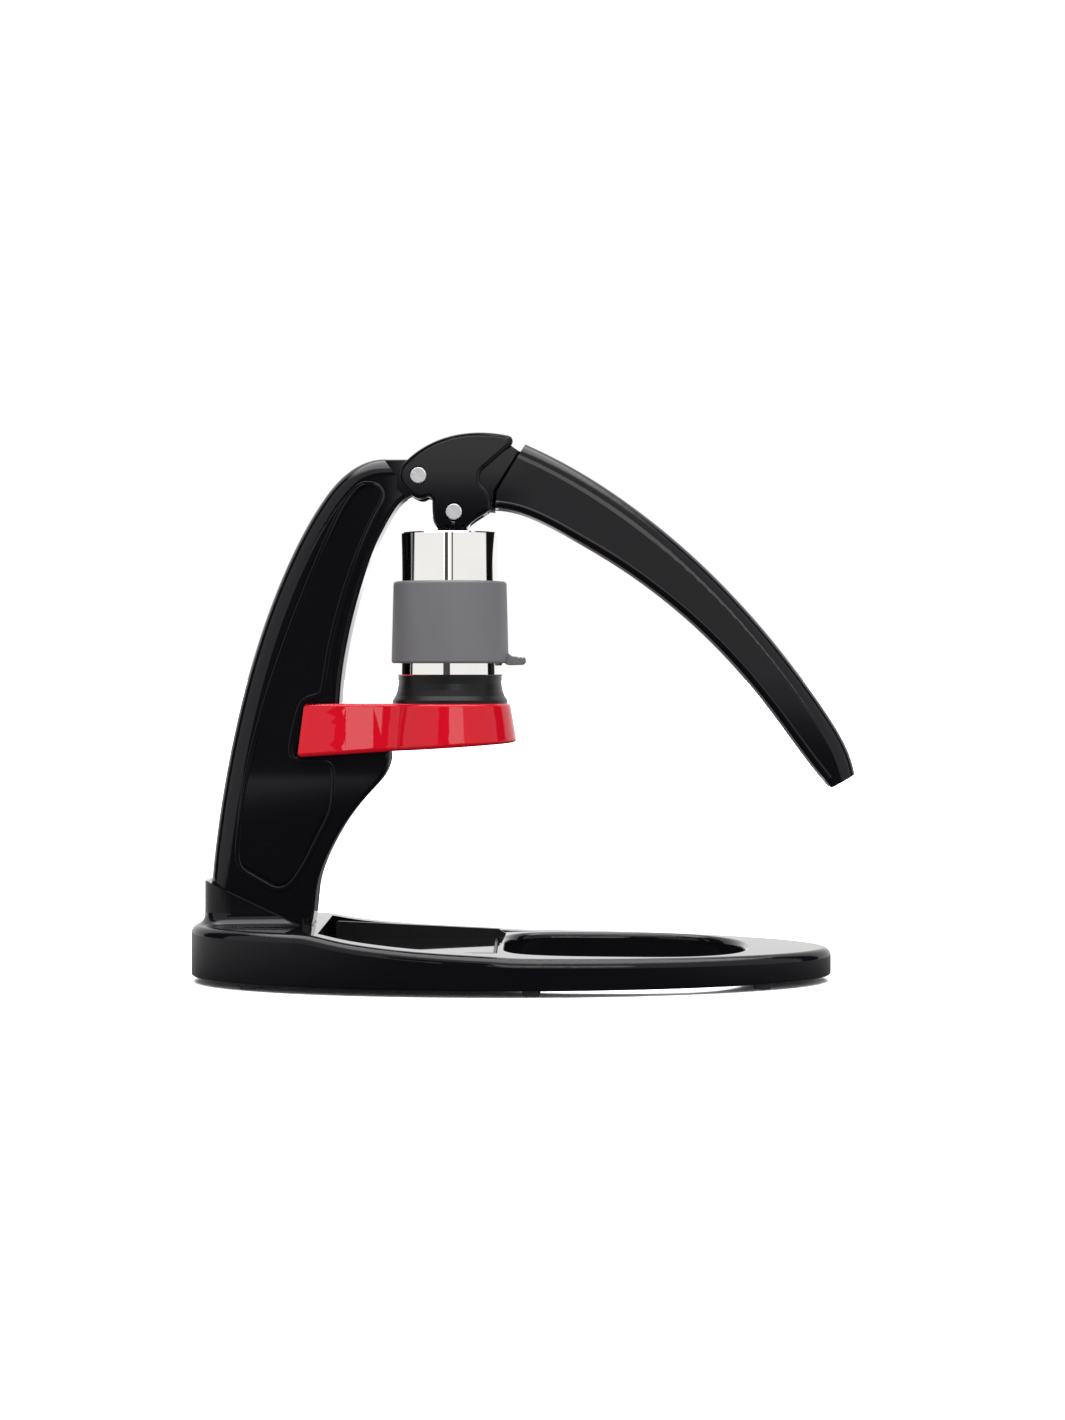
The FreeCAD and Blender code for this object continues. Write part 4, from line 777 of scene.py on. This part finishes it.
def level_edges(shape, radius, height):
    """The edges of the spun shape that lie at this radius and height."""
    def there(vert):
        out = math.hypot(vert.co.x - BREW_X, vert.co.y)
        return abs(out - radius) < NEAR and abs(vert.co.z - height) < NEAR
    return [edge for edge in shape.edges if all(there(vert) for vert in edge.verts)]


def sleeve():
    low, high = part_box("cylinder_sleeve")
    foot = low.z + SLEEVE_LIFT
    top = high.z
    foot_radius = BREW_X - low.x
    top_radius = foot_radius - SLEEVE_TAPER
    bore_foot = foot_radius - SLEEVE_WALL
    bore_top = top_radius - SLEEVE_WALL
    shape = ring_from([(bore_foot, foot), (foot_radius, foot), (top_radius, top), (bore_top, top)])
    bevel(shape, level_edges(shape, foot_radius, foot), FOOT_LIP, LIP_STEPS)
    bevel(shape, level_edges(shape, top_radius, top), TOP_LIP, LIP_STEPS)
    bevel(shape, level_edges(shape, bore_top, top), BORE_LIP)
    join(shape, pull_tab(BREW_X + foot_radius, high.x, foot))
    piece_from(shape, "silicone_sleeve", "cylinder_sleeve", crease=50)


def pull_tab(root, tip, foot):
    """The tab: a thick tongue with grip ridges on top, near its tip."""
    outline = [
        (start + along, foot + up)
        for start, steps in ((root, TAB_BELOW_ROOT), (tip, TAB_ROUND_TIP), (root, TAB_ABOVE_ROOT))
        for along, up in steps]
    shape = bmesh.new()
    face = shape.faces.new([shape.verts.new((x, -TAB_WIDTH / 2, z)) for x, z in outline])
    raise_from(shape, face, TAB_WIDTH)
    ends = [edge for edge in shape.edges
            if abs(edge.verts[0].co.y - edge.verts[1].co.y) < SAME_DEPTH]
    bevel(shape, ends, TAB_ROUND)
    return shape


sleeve()

# %% [markdown]
# The table is white and matt, and bright enough to burn out in the picture, as in a studio shot.
# What the machine's gloss mirrors is another thing: close to it the table is dark, as if in the
# shade of the camera's stand, and further out it brightens. The table isn't part of the machine, so
# its material may ask what kind of ray looks at it. Each pair is where a soft step starts and ends.

# %% The table
TABLE_SIZE = 30.0
BESIDE = (0.06, 0.40)
FAR_OUT = (0.4, 1.6)
BEHIND = (0.05, 0.3)
IN_FRONT = (0.25, 0.60)
MIRRORED_CLOSE = 0.05
MIRRORED_BESIDE = 0.75
MIRRORED_FAR = 0.8
MIRRORED_BEHIND = 0.12


def table_top():
    mesh = bpy.data.meshes.new("table_top")
    shape = bmesh.new()
    bmesh.ops.create_grid(shape, x_segments=1, y_segments=1, size=TABLE_SIZE)
    shape.to_mesh(mesh)
    shape.free()
    table = bpy.data.objects.new("table_top", mesh)
    bpy.context.scene.collection.objects.link(table)
    finish = Finish("white_table", {"Roughness": 1.0, "Specular IOR Level": 0.0})
    finish.feed(Base_Color=rgb(0.93, 0.93, 0.935))
    x, y, _ = finish.apart(finish.place)
    beside = finish.smooth(abs(x), *BESIDE)
    far = finish.smooth(abs(x), *FAR_OUT)
    behind = finish.smooth(y, *BEHIND)
    near = 1.0 - finish.smooth(0.0 - y, *IN_FRONT)
    # For every ray but the camera's the table glows by itself, and in the gloss that glow holds a
    # painted shade close to the machine.
    mirrored = MIRRORED_CLOSE + MIRRORED_BESIDE * beside * near + MIRRORED_FAR * far
    mirrored = mirrored.maths("MAXIMUM", mirrored, MIRRORED_BEHIND * behind)
    glossy = finish.node("ShaderNodeLightPath", output="Is Glossy Ray")
    level = finish.mix(glossy, rgb(0.80, 0.80, 0.81), mirrored)
    glow = finish.node("ShaderNodeEmission", None, {"Color": level, "Strength": 1.0})
    seen = finish.node("ShaderNodeLightPath", output="Is Camera Ray")
    either = finish.node("ShaderNodeMixShader", None, {
        0: seen, 1: glow, 2: Value(finish, finish.shader.outputs[0])})
    finish.node_tree.links.new(either.socket, finish.out.inputs[0])
    dress(table, finish.material)


table_top()

# %% [markdown]
# The studio: white paper behind, a large soft box on each side of the camera, light from above, and
# a dark gap where the camera stands. Gloss paint and polished steel show exactly this, so the room
# is drawn as a sky that changes with the compass direction and the height. Two dark bars low in
# front, and a bright lamp with a dark shade beside it higher up, give the bands on steel and paint.
# A direction of 0 is towards the camera, 0.5 to its right, and 1 or -1 behind the machine. Below,
# two numbers are where a soft step starts and ends. Three are a bar's middle direction, how far
# from it the bar is full, and how far from it the bar has gone.

# %% The studio light
SKY_BY_HEIGHT = [
    (0.47, 0.12), (0.49, 0.06), (0.5305, 0.06), (0.533, 1.4), (0.540, 2.0), (0.56, 1.6),
    (1.0, 1.1)]
SKY_AROUND = [
    (0.0, 1.25), (0.172, 1.2), (0.178, 0.02), (0.250, 0.02), (0.258, 1.12), (0.755, 1.12),
    (0.763, 0.02), (0.818, 0.02), (0.826, 1.2), (1.0, 1.25)]
CAMERA_GAP = (-0.0322, 0.038, 0.044)
STAND = (-0.037, 0.020, 0.023)
STRAP = (0.037, 0.007, 0.010)
STRAP_FOOT = (0.069, 0.072)
BARS_TOP = (0.16, 0.24)
BARS_LEVEL = 0.08
LAMP_FOOT = (0.17, 0.20)
LAMP_TOP = (0.42, 0.50)
LAMP_LEFT = (-0.006, 0.0)
LAMP_RIGHT = (0.140, 0.150)
LAMP_LEVEL = 4.6
SHADE_LEFT = (-0.115, -0.105)
SHADE_LEVEL = 0.03
OVERHEAD = (0.74, 0.88)
OVERHEAD_LEVEL = 7.0


def studio():
    world = bpy.data.worlds.new("studio")
    world.use_nodes = True
    tree = Tree(world.node_tree)
    x, y, z = tree.apart(tree.node("ShaderNodeTexCoord", output="Generated"))
    side = x.maths("ARCTAN2", x, 0.0 - y) / math.pi
    height = tree.ramp(z * 0.5 + 0.5, SKY_BY_HEIGHT)
    around = tree.ramp(side * 0.5 + 0.5, SKY_AROUND)
    level = tree.mix(tree.within(side, *CAMERA_GAP), around, height)
    low = 1.0 - tree.smooth(z, *BARS_TOP)
    stand = tree.within(side, *STAND)
    strap = tree.within(side, *STRAP) * tree.smooth(z, *STRAP_FOOT)
    level = tree.mix(low * stand.maths("MAXIMUM", stand, strap), level, grey(BARS_LEVEL))
    upper = tree.smooth(z, *LAMP_FOOT) * (1.0 - tree.smooth(z, *LAMP_TOP))
    lamp_edge = tree.smooth(side, *LAMP_LEFT)
    lamp = lamp_edge * (1.0 - tree.smooth(side, *LAMP_RIGHT))
    shade = tree.smooth(side, *SHADE_LEFT) * (1.0 - lamp_edge)
    level = tree.mix(upper * lamp, level, grey(LAMP_LEVEL))
    level = tree.mix(upper * shade, level, grey(SHADE_LEVEL))
    level = tree.mix(tree.smooth(z, *OVERHEAD), level, grey(OVERHEAD_LEVEL))
    seen = tree.node("ShaderNodeLightPath", output="Is Camera Ray")
    level = tree.mix(seen, level, grey(1.0))
    background = tree.node("ShaderNodeBackground", None, {"Color": level, "Strength": 1.0})
    out = tree.node_tree.nodes.new("ShaderNodeOutputWorld")
    tree.node_tree.links.new(background.socket, out.inputs[0])
    bpy.context.scene.world = world


studio()
bpy.context.scene.view_settings.view_transform = "Standard"

# %% [markdown]
# The camera stands 1.34 m in front of the machine's middle plane, at the height of the brewing
# head, and looks down by less than one degree.

# %% The camera
def camera():
    lens = bpy.data.cameras.new("camera")
    lens.sensor_fit = "VERTICAL"
    lens.sensor_height = 24.0
    lens.lens = FOCAL_PIXELS * lens.sensor_height / PHOTO_HEIGHT
    lens.clip_start = 0.05
    lens.clip_end = 100.0
    eye = bpy.data.objects.new("camera", lens)
    bpy.context.scene.collection.objects.link(eye)
    eye.location = CAMERA_PLACE
    down = math.atan((PHOTO_HEIGHT / 2 - HORIZON_ROW) / FOCAL_PIXELS)
    eye.rotation_euler = (math.pi / 2 - down, 0.0, 0.0)
    bpy.context.scene.camera = eye
    print("the camera looks down by %.2f degrees" % math.degrees(down))


camera()
